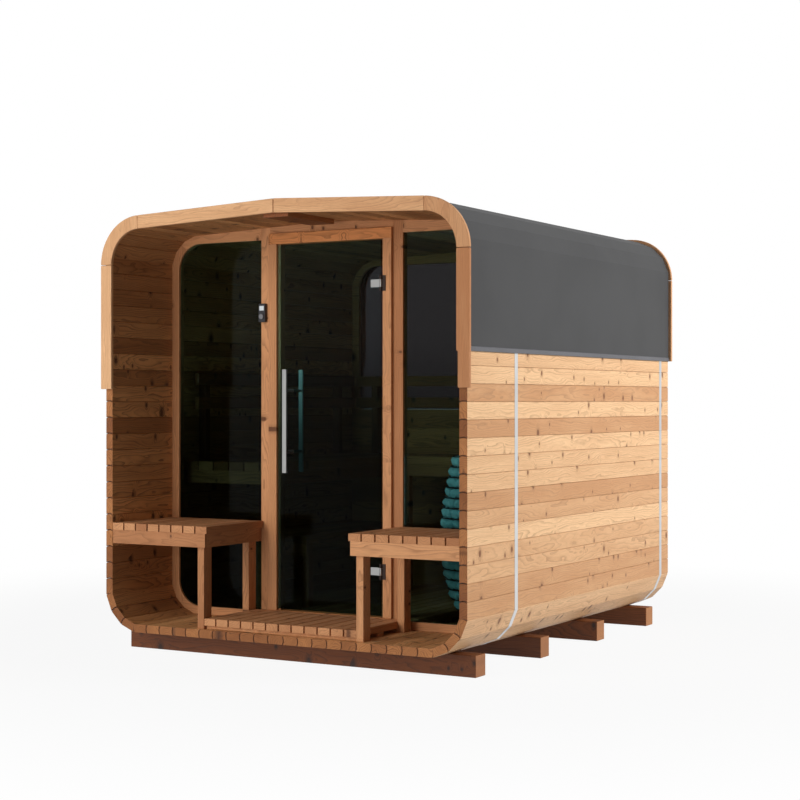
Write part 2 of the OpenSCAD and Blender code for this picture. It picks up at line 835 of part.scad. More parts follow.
// Lower bench that serves as a step to the upper one
module step_bench() {
    x1 = -step_x;
    x0 = x1 - step_w;
    y0 = side_bench_y + step_front;
    y1 = rear_bench_y - rail_t - bench_gap - post_size - step_leg_gap;
    rail_y = y0 + bench_gap;
    rail_end = y1 - bench_gap - rail_t;
    under = step_z - slat_t;
    color(wood) placed() {
        slats_along_y(x0, x1, y0, y1, step_z, slat_t, step_slats);
        for (y = [rail_y, (y0 + y1 - rail_t) / 2, rail_end])
            block([x0, y, under - rail_h], [x1, y + rail_t, under]);
        for (x = [x0 + bench_gap, x1 - bench_gap - post_size])
            for (y = [rail_y + rail_t, rail_end - post_size])
                block([x, y, floor_z], [x + post_size, y + post_size, under]);
    }
}

// Two rails on uprights that stand on the side bench
module backrest_side() {
    x0 = -inner_x + bench_gap;
    y0 = side_bench_y + back_front_gap;
    y1 = rear_y - back_offset - back_t - back_end_gap;
    top = bench_z + back_low + back_pitch + back_h;
    color(wood) placed() {
        for (k = [0, 1]) {
            z = bench_z + back_low + k * back_pitch;
            block([x0 + back_offset, y0, z], [x0 + back_offset + back_t, y1, z + back_h]);
        }
        for (y = [y0 + upright_inset, (y0 + y1 - post_size) / 2, y1 - upright_inset - post_size])
            block([x0, y, bench_z], [x0 + back_offset + back_notch, y + post_size, top]);
    }
}

// The same along the rear wall, in front of the window
module backrest_rear() {
    x0 = -inner_x + back_offset + back_t + 2 * bench_gap;
    x1 = inner_x - back_end_gap;
    y1 = rear_y - bench_gap;
    top = bench_z + back_low + back_pitch + back_h;
    color(wood) placed() {
        for (k = [0, 1]) {
            z = bench_z + back_low + k * back_pitch;
            block([x0, y1 - back_offset - back_t, z], [x1, y1 - back_offset, z + back_h]);
        }
        for (x = [x0 + upright_inset, (x0 + x1 - post_size) / 2, x1 - upright_inset - post_size])
            block([x, y1 - back_offset - back_notch, bench_z], [x + post_size, y1, top]);
    }
}

// Radius of the barrel-shaped cage at a share of its height, from 0 at the foot to 1 at the top
function cage_radius(share) =
    cage_end_r + (cage_r - cage_end_r) * sin(180 * (0.06 + 0.88 * pow(share, 0.85)));

// Side view of the cage from its first ring to its last, moved inward by d
function ring_z(index) =
    stove_low_z + wire_r + index / cage_rings * (stove_top_z - stove_low_z - 2 * wire_r);
function cage_side(d) =
    [for (i = [0 : cage_rings]) [cage_radius(i / cage_rings) - d, ring_z(i)]];
function reversed(points) = [for (i = [len(points) - 1 : -1 : 0]) points[i]];

// Rings outside a set of upright wires that follow the barrel's curve
module stove_cage() {
    wire_face = 2 * wire_r + wire_gap;
    color("#555555") placed() translate([stove_x, stove_y, 0]) {
        for (i = [0 : cage_rings]) translate([0, 0, ring_z(i)])
            rotate_extrude() translate([cage_radius(i / cage_rings) - wire_r, 0]) circle(wire_r, $fn = 24);
        for (k = [0 : cage_wires - 1]) rotate([90, 0, 360 / cage_wires * (k + 0.5)])
            linear_extrude(2 * wire_r, center = true)
                polygon(concat(cage_side(wire_face), reversed(cage_side(wire_face + 2 * wire_r))));
    }
}

// The pile of stones inside the cage, heaped at the top
module stove_stones() {
    side = cage_side(4 * wire_r + wire_gap + fit_gap);
    color("#6d7a78") placed() translate([stove_x, stove_y, 0]) rotate_extrude($fn = arc_fn)
        polygon(concat([[0, stove_low_z]], side,
                       [[cage_end_r / 2, stove_top_z + stone_heap * 0.7], [0, stove_top_z + stone_heap]]));
}

// Round foot that carries the stove
module stove_base() {
    color("#3a3a3a") placed() translate([stove_x, stove_y, floor_z]) {
        cylinder(h = base_plate, r = base_foot_r);
        cylinder(h = stove_low, r = base_stem_r);
        translate([0, 0, stove_low - base_plate]) cylinder(h = base_plate, r = cage_radius(0) + wire_r);
    }
}

beam(0);  // beam_front
beam(1);  // beam_second
beam(2);  // beam_third
beam(3);  // beam_rear
floor_staves();
wall(true);  // wall_left
wall(false);  // wall_right
roof(true);  // roof_left
roof(false);  // roof_right
corner_floor(true);  // corner_floor_left
corner_floor(false);  // corner_floor_right
corner_roof(true);  // corner_roof_left
corner_roof(false);  // corner_roof_right
roof_cover();
drip_edges();
straps();
ridge_board();
front_trim(true);  // front_trim_left
front_trim(false);  // front_trim_right
rear_trim(true);  // rear_trim_left
rear_trim(false);  // rear_trim_right
front_frame(true);  // front_frame_left
front_frame(false);  // front_frame_right
post(true);  // post_left
post(false);  // post_right
jamb(true);  // jamb_left
jamb(false);  // jamb_right
door_head();
transom();
door_sill();
side_glass(true);  // glass_left
side_glass(false);  // glass_right
door_glass();
door_handle();
hinge_clamps();
hinge_leaves();
control_unit();
porch_bench(true);  // porch_bench_left
porch_bench(false);  // porch_bench_right
porch_duckboard();
rear_boards();
rear_frame();
rear_glass();
room_duckboard();
side_bench();
rear_bench();
step_bench();
backrest_side();
backrest_rear();
stove_cage();
stove_stones();
stove_base();
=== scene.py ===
"""Looks of an outdoor sauna cabin, built around its packed construction.

Lengths are metres in the frame's own axes: X to the right, Y from the porch to the rear, Z up.
"""

import logging
import math
import random
from contextlib import contextmanager
from dataclasses import dataclass
from enum import Enum
from typing import Callable, Iterable, Iterator, Sequence

import bpy
import numpy as np
from mathutils import Matrix, Vector


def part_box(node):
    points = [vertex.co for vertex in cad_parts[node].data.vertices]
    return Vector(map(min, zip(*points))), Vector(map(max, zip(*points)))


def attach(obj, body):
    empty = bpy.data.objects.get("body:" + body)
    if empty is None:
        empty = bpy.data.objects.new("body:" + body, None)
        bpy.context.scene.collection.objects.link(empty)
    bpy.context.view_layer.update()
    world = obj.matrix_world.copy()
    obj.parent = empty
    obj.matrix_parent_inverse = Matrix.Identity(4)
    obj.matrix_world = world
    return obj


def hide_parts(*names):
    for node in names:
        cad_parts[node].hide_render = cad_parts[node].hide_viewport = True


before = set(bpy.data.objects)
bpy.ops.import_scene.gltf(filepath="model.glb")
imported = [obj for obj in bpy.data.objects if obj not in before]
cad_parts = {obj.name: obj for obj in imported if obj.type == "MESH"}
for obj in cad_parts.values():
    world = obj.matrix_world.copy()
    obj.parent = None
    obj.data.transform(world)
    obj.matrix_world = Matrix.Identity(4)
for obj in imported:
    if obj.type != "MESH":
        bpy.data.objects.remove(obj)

logging.basicConfig(level=logging.INFO, format="%(levelname)s %(message)s")
log = logging.getLogger("sauna")

CAMERA_PLACE = (4.7818, -8.3072, 1.3205)
CAMERA_TURN = 30.05
CAMERA_LENS = 76.757
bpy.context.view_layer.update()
TOUCH = 1e-5
NEAR = 1e-4
Colour = tuple[float, float, float]
Span = tuple[float, float]
Object = bpy.types.Object
Material = bpy.types.Material
Socket = bpy.types.NodeSocket


class Along(Enum):
    """Axis along which a board's grain runs."""

    X = 0
    Y = 1
    Z = 2


class Side(Enum):
    """Which colour a face of a board gets: plain in the open, painted shade, painted shade with darker
    sawn end grain, or painted shade in the joint at a stave's end.
    """

    OPEN = 0.0
    # Faces marked so are darkened and reddened in the wood shader as painted shade.
    PAINTED_SHADE = 1.0
    SAWN = 2.0
    # Painted shade in the joint at a stave's end.
    RIM_SHADE = 3.0


def deselect_all() -> None:
    """Leave nothing selected in object mode."""
    bpy.ops.object.select_all(action="DESELECT")


def only(obj: Object) -> None:
    """Select one object and make it the active one.

    Args:
        obj: The object.
    """
    deselect_all()
    obj.select_set(True)
    bpy.context.view_layer.objects.active = obj


@contextmanager
def editing(obj: Object) -> Iterator[None]:
    """Edit a mesh with everything selected at the start.

    Args:
        obj: The mesh object.

    Returns:
        A context in which the mesh is in edit mode.
    """
    only(obj)
    bpy.ops.object.mode_set(mode="EDIT")
    bpy.ops.mesh.select_all(action="SELECT")
    yield
    bpy.ops.object.mode_set(mode="OBJECT")


def box_between(low: Sequence[float], high: Sequence[float]) -> Object:
    """Add a box between two corners, with its place and size in its mesh.

    Args:
        low: Its lowest corner.
        high: Its highest corner.

    Returns:
        The box.
    """
    low, high = Vector(low), Vector(high)
    deselect_all()
    bpy.ops.mesh.primitive_cube_add(size=1.0, location=(low + high) / 2)
    obj = bpy.context.active_object
    obj.scale = high - low
    bpy.ops.object.transform_apply(location=True, rotation=False, scale=True)
    return obj


def hidden(obj: Object) -> Object:
    """Take a master out of the scene and return it."""
    bpy.context.scene.collection.objects.unlink(obj)
    return obj


def shade(*colours: tuple[float, Colour]) -> Colour:
    """Add up colours, each times its share."""
    return tuple(sum(share * colour[i] for share, colour in colours) for i in range(3))


def select_where(obj: Object, kind: str, test: Callable[[Vector], bool]) -> None:
    """Select the vertices, edges or faces of a mesh by the place of their middle.

    Args:
        obj: The mesh object, in edit mode.
        kind: VERT, EDGE or FACE.
        test: Says of a middle point whether its element is selected.
    """
    bpy.ops.mesh.select_mode(type=kind)
    bpy.ops.mesh.select_all(action="DESELECT")
    bpy.ops.object.mode_set(mode="OBJECT")
    mesh = obj.data
    points = [v.co for v in mesh.vertices]
    if kind == "VERT":
        middles = zip(mesh.vertices, points)
    elif kind == "EDGE":
        middles = ((e, (points[e.vertices[0]] + points[e.vertices[1]]) / 2) for e in mesh.edges)
    else:
        middles = ((face, face.center) for face in mesh.polygons)
    for element in [element for element, middle in middles if test(middle)]:
        element.select = True
    bpy.ops.object.mode_set(mode="EDIT")


def copy_of(master: Object, name: str, place: Matrix) -> Object:
    """Copy a piece with its own mesh, with the copy's place put into that mesh.

    Args:
        master: The piece to copy.
        name: Name of the copy.
        place: Where the copy goes.

    Returns:
        The copy.
    """
    mesh = master.data.copy()
    mesh.transform(place)
    obj = bpy.data.objects.new(name, mesh)
    bpy.context.scene.collection.objects.link(obj)
    return obj


def joined(name: str, parts: Sequence[Object]) -> Object:
    """Join finished parts, each at the origin, into one named piece.

    Args:
        name: The piece's name.
        parts: The parts, at least one.

    Returns:
        The piece.
    """
    deselect_all()
    for part in parts:
        part.select_set(True)
    bpy.context.view_layer.objects.active = parts[0]
    if len(parts) > 1:
        bpy.ops.object.join()
    piece = bpy.context.view_layer.objects.active
    piece.name = name
    piece.data.name = name
    deselect_all()
    return piece


def finish_piece(
    piece: Object,
    material: Material | None,
    nodes: Iterable[str] = (),
    body: str = "root",
) -> Object:
    """Dress a piece, let it ride on its body and stand for its CAD nodes.

    Args:
        piece: The finished mesh.
        material: Its only material, or None where its parts have their own.
        nodes: CAD nodes that the piece replaces.
        body: The body it rides on.

    Returns:
        The same piece.
    """
    if material is not None:
        piece.data.materials.clear()
        piece.data.materials.append(material)
    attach(piece, body)
    nodes = list(nodes)
    if nodes:
        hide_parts(*nodes)
    log.info("%s: %d faces", piece.name, len(piece.data.polygons))
    return piece


class Graph:
    """Adds shader nodes to a tree in few words."""

    def __init__(self, tree: bpy.types.NodeTree) -> None:
        """Keep the tree and empty it."""
        self.tree = tree
        tree.nodes.clear()

    def node(self, kind: str, **settings: object) -> bpy.types.Node:
        """Add a node and set its properties.

        Args:
            kind: The node's type.
            **settings: Its properties.

        Returns:
            The node.
        """
        made = self.tree.nodes.new(kind)
        for key, value in settings.items():
            setattr(made, key, value)
        return made

    def put(self, socket: Socket, value: object) -> None:
        """Link a socket to a source, or set its value.

        Args:
            socket: The input.
            value: A socket, or a number, colour or vector.
        """
        if isinstance(value, bpy.types.NodeSocket):
            self.tree.links.new(value, socket)
        elif isinstance(value, tuple) and len(value) == 3 and socket.type == "RGBA":
            socket.default_value = (*value, 1.0)
        else:
            socket.default_value = value

    def math(self, operation: str, *values: object, clamp: bool = False) -> Socket:
        """Add a Math node.

        Args:
            operation: Its operation.
            *values: Numbers or sockets for its inputs.
            clamp: Whether its value is kept between 0 and 1.

        Returns:
            Its value.
        """
        made = self.node("ShaderNodeMath", operation=operation, use_clamp=clamp)
        for socket, value in zip(made.inputs, values):
            self.put(socket, value)
        return made.outputs[0]

    def vector(self, operation: str, *values: object) -> Socket:
        """Add a Vector Math node.

        Args:
            operation: Its operation.
            *values: Vectors or sockets for its inputs.

        Returns:
            Its vector, or its value for a length.
        """
        made = self.node("ShaderNodeVectorMath", operation=operation)
        for socket, value in zip(made.inputs, values):
            self.put(socket, value)
        return made.outputs["Value" if operation == "LENGTH" else "Vector"]

    def noise(
        self, where: Socket, scale: float, detail: float = 2.0, rough: float = 0.5, output: int = 0
    ) -> Socket:
        """Add a Noise Texture.

        Args:
            where: Its vector.
            scale: Its scale.
            detail: Its detail.
            rough: Its roughness.
            output: 0 for its value, 1 for its colour.

        Returns:
            That output.
        """
        made = self.node("ShaderNodeTexNoise", noise_dimensions="3D")
        self.put(made.inputs["Vector"], where)
        made.inputs["Scale"].default_value = scale
        made.inputs["Detail"].default_value = detail
        made.inputs["Roughness"].default_value = rough
        return made.outputs[output]

    def sway(self, where: Socket, scale: Colour, detail: float, reach: Colour) -> Socket:
        """Make a vector that noise moves to and fro, by the reach along each axis."""
        moved = self.noise(self.vector("MULTIPLY", where, scale), 1.0, detail, output=1)
        return self.vector("MULTIPLY", self.vector("SUBTRACT", moved, (0.5, 0.5, 0.5)), reach)

    def bump(self, height: Socket, strength: float, distance: float) -> Socket:
        """Add a Bump node.

        Args:
            height: The height that it follows.
            strength: How much of it shows.
            distance: Depth of the relief.

        Returns:
            Its normal.
        """
        made = self.node("ShaderNodeBump")
        made.inputs["Strength"].default_value = strength
        made.inputs["Distance"].default_value = distance
        self.put(made.inputs["Height"], height)
        return made.outputs[0]

    def surface(self, shader: bpy.types.Node) -> None:
        """Let a shader be the surface."""
        self.put(self.node("ShaderNodeOutputMaterial").inputs["Surface"], shader.outputs[0])

    def principled(self, colour: Socket, roughness: Socket, normal: Socket) -> bpy.types.Node:
        """Let a Principled BSDF be the surface.

        Args:
            colour: Its base colour.
            roughness: Its roughness.
            normal: Its normal.

        Returns:
            The shader.
        """
        shader = self.node("ShaderNodeBsdfPrincipled")
        for key, value in (("Base Color", colour), ("Roughness", roughness), ("Normal", normal)):
            self.put(shader.inputs[key], value)
        self.surface(shader)
        return shader

    def either(
        self, share: Socket, first: bpy.types.Node, second: bpy.types.Node
    ) -> bpy.types.Node:
        """Mix two shaders.

        Args:
            share: How much of the second one shows.
            first: The first shader.
            second: The second shader.

        Returns:
            The mixed shader.
        """
        mixed = self.node("ShaderNodeMixShader")
        for socket, value in zip(mixed.inputs, (share, first.outputs[0], second.outputs[0])):
            self.put(socket, value)
        return mixed

    def smooth(
        self, value: object, low: object, high: object, start: float = 0.0, end: float = 1.0
    ) -> Socket:
        """Map a value smoothly from one range to another.

        Args:
            value: The value.
            low: Start of its own range.
            high: End of its own range.
            start: What low becomes.
            end: What high becomes.

        Returns:
            The mapped value.
        """
        made = self.node("ShaderNodeMapRange", interpolation_type="SMOOTHSTEP")
        for socket, source in zip(made.inputs, (value, low, high, start, end)):
            self.put(socket, source)
        return made.outputs[0]

    def mix(self, share: object, first: object, second: object, blend: str = "MIX") -> Socket:
        """Mix two colours.

        Args:
            share: How much of the second one shows.
            first: The first colour.
            second: The second colour.
            blend: How they are blended.

        Returns:
            The mixed colour.
        """
        made = self.node("ShaderNodeMix", data_type="RGBA", blend_type=blend)
        made.clamp_factor = True
        self.put(made.inputs[0], share)
        self.put(made.inputs[6], first)
        self.put(made.inputs[7], second)
        return made.outputs[2]

    def group(self, tree: bpy.types.NodeTree, **inputs: object) -> bpy.types.Node:
        """Place a node group and set its inputs.

        Args:
            tree: The group.
            **inputs: Its inputs, with underscores for the spaces in their names.

        Returns:
            The group's node.
        """
        made = self.node("ShaderNodeGroup")
        made.node_tree = tree
        for key, value in inputs.items():
            self.put(made.inputs[key.replace("_", " ")], value)
        return made


def new_material(name: str) -> tuple[Material, Graph]:
    """Start a material.

    Args:
        name: The material's name.

    Returns:
        The material and a graph for it.
    """
    material = bpy.data.materials.new(name)
    material.use_nodes = True
    return material, Graph(material.node_tree)


def new_group(
    name: str, inputs: dict[str, str], outputs: Sequence[str]
) -> tuple[bpy.types.NodeTree, Graph, bpy.types.Node, bpy.types.Node]:
    """Start a shader node group with named sockets.

    Args:
        name: The group's name.
        inputs: Each input's name and its kind, Float or Vector.
        outputs: Names of the outputs, which are all plain values.

    Returns:
        The tree, a graph for it, its input node and its output node.
    """
    tree = bpy.data.node_groups.new(name, "ShaderNodeTree")
    for key, kind in inputs.items():
        tree.interface.new_socket(key, in_out="INPUT", socket_type=f"NodeSocket{kind}")
    for key in outputs:
        tree.interface.new_socket(key, in_out="OUTPUT", socket_type="NodeSocketFloat")
    graph = Graph(tree)
    return tree, graph, graph.node("NodeGroupInput"), graph.node("NodeGroupOutput")


def build_grain_group() -> bpy.types.NodeTree:
    """Build the group that draws year rings, fibres and knots.

    The vector runs along, across and deep in a log whose heart is the line across = deep = 0.

    Returns:
        The node group.
    """
    tree, g, given, result = new_group(
        "Wood figure",
        {"Vector": "Vector", "Board": "Float", "Ring Width": "Float", "Knot Share": "Float"},
        ("Line", "Fibre", "Knot", "Halo", "Tone", "Height"),
    )
    where = given.outputs["Vector"]
    knot_cell, small_knot, more = 0.10, 0.007, 0.013
    knots = g.node("ShaderNodeTexVoronoi", voronoi_dimensions="2D", feature="F1")
    stretched = g.vector("MULTIPLY", where, (1.5, 1.0, 0.0))
    g.put(knots.inputs["Vector"], stretched)
    knots.inputs["Scale"].default_value = 1.0 / knot_cell
    knots.inputs["Randomness"].default_value = 1.0
    pick = g.node("ShaderNodeSeparateColor")
    g.put(pick.inputs[0], knots.outputs["Color"])
    near = g.math("MULTIPLY", knots.outputs["Distance"], knot_cell)
    chosen = g.math("LESS_THAN", pick.outputs[0], given.outputs["Knot Share"])
    radius = g.math("MULTIPLY_ADD", g.math("POWER", pick.outputs[1], 2.5), more, small_knot)
    share = g.math("DIVIDE", near, radius)
    ripple = g.noise(where, 160.0, 3.0)
    edge = g.math("MULTIPLY_ADD", ripple, 0.7, g.math("SUBTRACT", share, 0.35))
    knot = g.math("MULTIPLY", g.smooth(edge, 1.15, 0.7), chosen)
    halo = g.math("MULTIPLY", g.smooth(edge, 2.8, 0.9), chosen)
    swell = g.math("MULTIPLY", g.smooth(share, 6.0, 0.5), g.math("MULTIPLY", chosen, radius))
    bend = g.sway(where, (2.0, 9.0, 9.0), 2.5, (0.0, 0.11, 0.11))
    jitter = g.sway(where, (16.0, 60.0, 60.0), 2.0, (0.0, 0.004, 0.004))
    bent = g.vector("ADD", g.vector("ADD", where, bend), jitter)
    flat = g.vector("MULTIPLY", bent, (0.0, 1.0, 1.0))
    ring_radius = g.math("ADD", g.vector("LENGTH", flat), g.math("MULTIPLY", swell, 2.2))
    turns = g.math("DIVIDE", ring_radius, given.outputs["Ring Width"])
    part = g.math("FRACT", turns)
    rise = g.math("POWER", part, 3.0)
    fall = g.smooth(part, 1.0, 0.9)
    strength = g.node("ShaderNodeTexWhiteNoise", noise_dimensions="1D")
    g.put(strength.inputs["W"], g.math("FLOOR", turns))
    dark = g.smooth(strength.outputs["Value"], 0.0, 1.0, 0.35, 1.0)
    line = g.math("MULTIPLY", g.math("MULTIPLY", rise, fall), dark)
    fibre = g.noise(g.vector("MULTIPLY", bent, (9.0, 420.0, 420.0)), 1.0, 2.0, 0.6)
    drift = g.noise(g.vector("MULTIPLY", where, (2.2, 14.0, 14.0)), 1.0, 2.0)
    toned = g.math("MULTIPLY_ADD", g.math("SUBTRACT", drift, 0.5), 0.8, given.outputs["Board"])
    height = g.math("MULTIPLY_ADD", fibre, 0.5, g.math("MULTIPLY", line, 0.5))
    for socket, value in zip(result.inputs, (line, fibre, knot, halo, toned, height)):
        g.put(socket, value)
    return tree


@dataclass(frozen=True)
class WoodFinish:
    """Planed softwood with year rings and knots.

    The pale colour is the early wood, the warm one the late wood and the dull boards, and the
    third is that of the knots. Faces that stand in shade are multiplied by a colour of painted
    shade, sawn ends also by a darker end-grain colour, and the rims of joints at the stave ends
    also by painted shade in the joint.
    """

    name: str
    pale: Colour
    warm: Colour
    knot: Colour
    ring_width: float = 0.0095
    knot_share: float = 0.18
    contrast: float = 0.8
    # Painted shade: the colour that multiplies faces standing in shade.
    painted_shade: Colour = (1.0, 0.80, 0.60)
    sawn: Colour = (0.58, 0.47, 0.40)
    # Painted shade in the joint grooves at the stave ends.
    rim: Colour = (0.26, 0.20, 0.17)
    roughness: float = 0.55

    def build(self, figure: bpy.types.NodeTree) -> Material:
        """Build the material.

        Args:
            figure: The wood figure group.

        Returns:
            The material.
        """
        material, g = new_material(self.name)
        grain = g.node("ShaderNodeAttribute", attribute_name="grain")
        board = g.node("ShaderNodeAttribute", attribute_name="board")
        wood = g.group(
            figure, Vector=grain.outputs["Vector"], Board=board.outputs["Fac"],
            Ring_Width=self.ring_width, Knot_Share=self.knot_share,
        )
        toned = g.mix(wood.outputs["Tone"], self.pale, self.warm)
        lines = g.math("MULTIPLY", wood.outputs["Line"], self.contrast)
        lined = g.mix(lines, toned, shade((0.62, self.warm)))
        streaks = g.smooth(wood.outputs["Fibre"], 0.35, 0.75, 0.0, 0.22)
        streaked = g.mix(streaks, lined, shade((0.6, self.warm)))
        halo = g.math("MULTIPLY", wood.outputs["Halo"], 0.5)
        haloed = g.mix(halo, streaked, shade((0.55, self.warm), (0.25, self.knot)))
        knotted = g.mix(g.math("MULTIPLY", wood.outputs["Knot"], 0.92), haloed, self.knot)
        side = g.node("ShaderNodeAttribute", attribute_name="side").outputs["Fac"]
        # Painted shade on faces with a side of 1 or more, varied by the board's tone and deeper along
        # the year rings and around knots.
        deep = g.mix(wood.outputs["Tone"], self.painted_shade, shade((0.7, self.painted_shade)))
        halo_shade = g.math("MULTIPLY", wood.outputs["Halo"], 0.6)
        figured = g.math("MULTIPLY_ADD", wood.outputs["Line"], 0.75, halo_shade)
        figured_shade = g.mix(figured, deep, shade((0.25, self.painted_shade)))
        with_painted_shade = g.mix(side, knotted, figured_shade, "MULTIPLY")
        cut = g.mix(g.math("SUBTRACT", side, 1.0, clamp=True), with_painted_shade, self.sawn, "MULTIPLY")
        # Painted shade in the joints at the stave ends, on top of the other painted shade.
        rim_shaded = g.mix(g.math("SUBTRACT", side, 2.0, clamp=True), cut, self.rim, "MULTIPLY")
        sheen = g.smooth(
            wood.outputs["Fibre"], 0.2, 0.8, self.roughness - 0.06, self.roughness + 0.08)
        g.principled(rim_shaded, sheen, g.bump(wood.outputs["Height"], 0.35, 0.0006))
        return material


@dataclass(frozen=True)
class GlassFinish:
    """Toughened glass with a tint that deepens towards its foot, as painted shade for the darker lower
    part of the room behind it.

    The tint is full from the height top on, and times foot below the height bottom. Shadow and
    diffuse rays pass straight through it.
    """

    name: str
    tint: Colour
    foot: float = 0.2
    top: float = 1.8
    bottom: float = 0.9

    def build(self) -> Material:
        """Build the material.

        Returns:
            The material.
        """
        material, g = new_material(self.name)
        where = g.node("ShaderNodeTexCoord").outputs["Object"]
        shader = g.node("ShaderNodeBsdfPrincipled")
        shader.inputs["IOR"].default_value = 1.45
        shader.inputs["Roughness"].default_value = 0.0
        shader.inputs["Specular IOR Level"].default_value = 0.2
        shader.inputs["Specular Tint"].default_value = (0.02, 0.02, 0.02, 1.0)
        shader.inputs["Transmission Weight"].default_value = 1.0
        height = g.node("ShaderNodeSeparateXYZ")
        g.put(height.inputs[0], where)
        # Painted shade: below the height top the tint darkens, with a slight mottle.
        low = g.smooth(height.outputs["Z"], self.top, self.bottom)
        foot_shade_share = g.math("MULTIPLY_ADD", g.noise(where, 3.0, 3.0), 0.06, low)
        g.put(shader.inputs["Base Color"], g.mix(foot_shade_share, self.tint, shade((self.foot, self.tint))))
        clear = g.node("ShaderNodeBsdfTransparent")
        clear.inputs["Color"].default_value = (*[c ** 0.6 for c in self.tint], 1.0)
        path = g.node("ShaderNodeLightPath")
        straight = g.math("MAXIMUM", path.outputs["Is Shadow Ray"], path.outputs["Is Diffuse Ray"])
        g.surface(g.either(straight, shader, clear))
        return material


@dataclass(frozen=True)
class MetalFinish:
    """Metal with a brushed or mottled surface."""

    name: str
    colour: Colour
    roughness: float
    metallic: float = 1.0
    brushed: tuple[float, float, float] = (400.0, 400.0, 4.0)

    def build(self) -> Material:
        """Build the material.

        Returns:
            The material.
        """
        material, g = new_material(self.name)
        where = g.node("ShaderNodeTexCoord").outputs["Object"]
        hair = g.noise(g.vector("MULTIPLY", where, self.brushed), 1.0, 3.0)
        cloud = g.noise(where, 6.0, 4.0)
        mottled = g.mix(g.smooth(cloud, 0.3, 0.7), self.colour, shade((0.88, self.colour)))
        sheen = g.smooth(hair, 0.2, 0.8, self.roughness - 0.07, self.roughness + 0.07)
        shader = g.principled(mottled, sheen, g.bump(hair, 0.15, 0.0003))
        shader.inputs["Metallic"].default_value = self.metallic
        return material


@dataclass(frozen=True)
class SkinFinish:
    """Matte sheet, plastic or stone, with a fine grain and a soft cloud."""

    name: str
    colour: Colour
    dull: Colour
    roughness: float
    grain_scale: float
    bump: float = 0.3
    depth: float = 0.0006

    def build(self) -> Material:
        """Build the material.

        Returns:
            The material.
        """
        material, g = new_material(self.name)
        where = g.node("ShaderNodeTexCoord").outputs["Object"]
        grit = g.noise(where, self.grain_scale, 4.0, 0.7)
        cloud = g.noise(where, 2.5, 4.0)
        base = g.mix(g.smooth(cloud, 0.3, 0.7), self.colour, self.dull)
        gritty = g.mix(g.smooth(grit, 0.4, 0.8, 0.0, 0.35), base, shade((0.7, self.dull)))
        sheen = g.smooth(grit, 0.2, 0.8, self.roughness - 0.08, self.roughness + 0.08)
        g.principled(gritty, sheen, g.bump(grit, self.bump, self.depth))
        return material


class Finishes:
    """All the finishes of the cabin."""

    def __init__(self) -> None:
        """Build every material once."""
        figure = build_grain_group()
        self.staves = WoodFinish(
            "staves", (0.83, 0.535, 0.295), (0.56, 0.29, 0.135), (0.17, 0.06, 0.02)
        ).build(figure)
        self.boards = WoodFinish(
            "boards", (0.68, 0.335, 0.155), (0.40, 0.165, 0.068), (0.10, 0.034, 0.012),
            contrast=0.95, knot_share=0.10,
        ).build(figure)
        self.trim = WoodFinish(
            "trim", (0.80, 0.47, 0.245), (0.46, 0.20, 0.085), (0.16, 0.06, 0.025),
            ring_width=0.007, contrast=0.65, knot_share=0.05,
        ).build(figure)
        self.beams = WoodFinish(
            "beams", (0.44, 0.19, 0.07), (0.32, 0.125, 0.045), (0.08, 0.03, 0.012),
            # Deeper painted shade for the beams' shaded sides and the backrests.
            painted_shade=(0.62, 0.46, 0.36),
        ).build(figure)
        self.glass = GlassFinish("tinted glass", (0.42, 0.68, 0.68)).build()
        self.stove_glass = GlassFinish("stove pane glass", (0.42, 0.64, 0.62), foot=0.66).build()
        self.rear_glass = GlassFinish("rear glass", (0.043, 0.026, 0.028)).build()
        self.strap_steel = MetalFinish("strap steel", (0.74, 0.75, 0.76), 0.42).build()
        self.satin_steel = MetalFinish("satin steel", (0.42, 0.42, 0.41), 0.36).build()
        self.dark_steel = MetalFinish(
            "dark hinge leaf", (0.035, 0.02, 0.015), 0.5, metallic=0.4
        ).build()
        self.drip_metal = MetalFinish("drip edge", (0.12, 0.12, 0.13), 0.5, metallic=0.2).build()
        self.stove_steel = MetalFinish("stove steel", (0.012, 0.016, 0.016), 0.5, metallic=0.2).build()
        self.cover = SkinFinish(
            "roof membrane", (0.058, 0.058, 0.059), (0.050, 0.050, 0.051), 0.75, 900.0
        ).build()
        self.plastic = SkinFinish(
            "control plastic", (0.02, 0.02, 0.024), (0.014, 0.014, 0.017), 0.4, 1500.0
        ).build()
        self.knob = SkinFinish(
            "control knob", (0.20, 0.20, 0.21), (0.16, 0.16, 0.17), 0.45, 1500.0
        ).build()
        self.screen = SkinFinish(
            "control screen", (0.72, 0.78, 0.80), (0.6, 0.66, 0.68), 0.3, 1500.0
        ).build()
        self.stone = SkinFinish(
            "stove stones", (0.56, 0.86, 0.92), (0.34, 0.60, 0.66), 0.7, 45.0, bump=0.8, depth=0.004
        ).build()


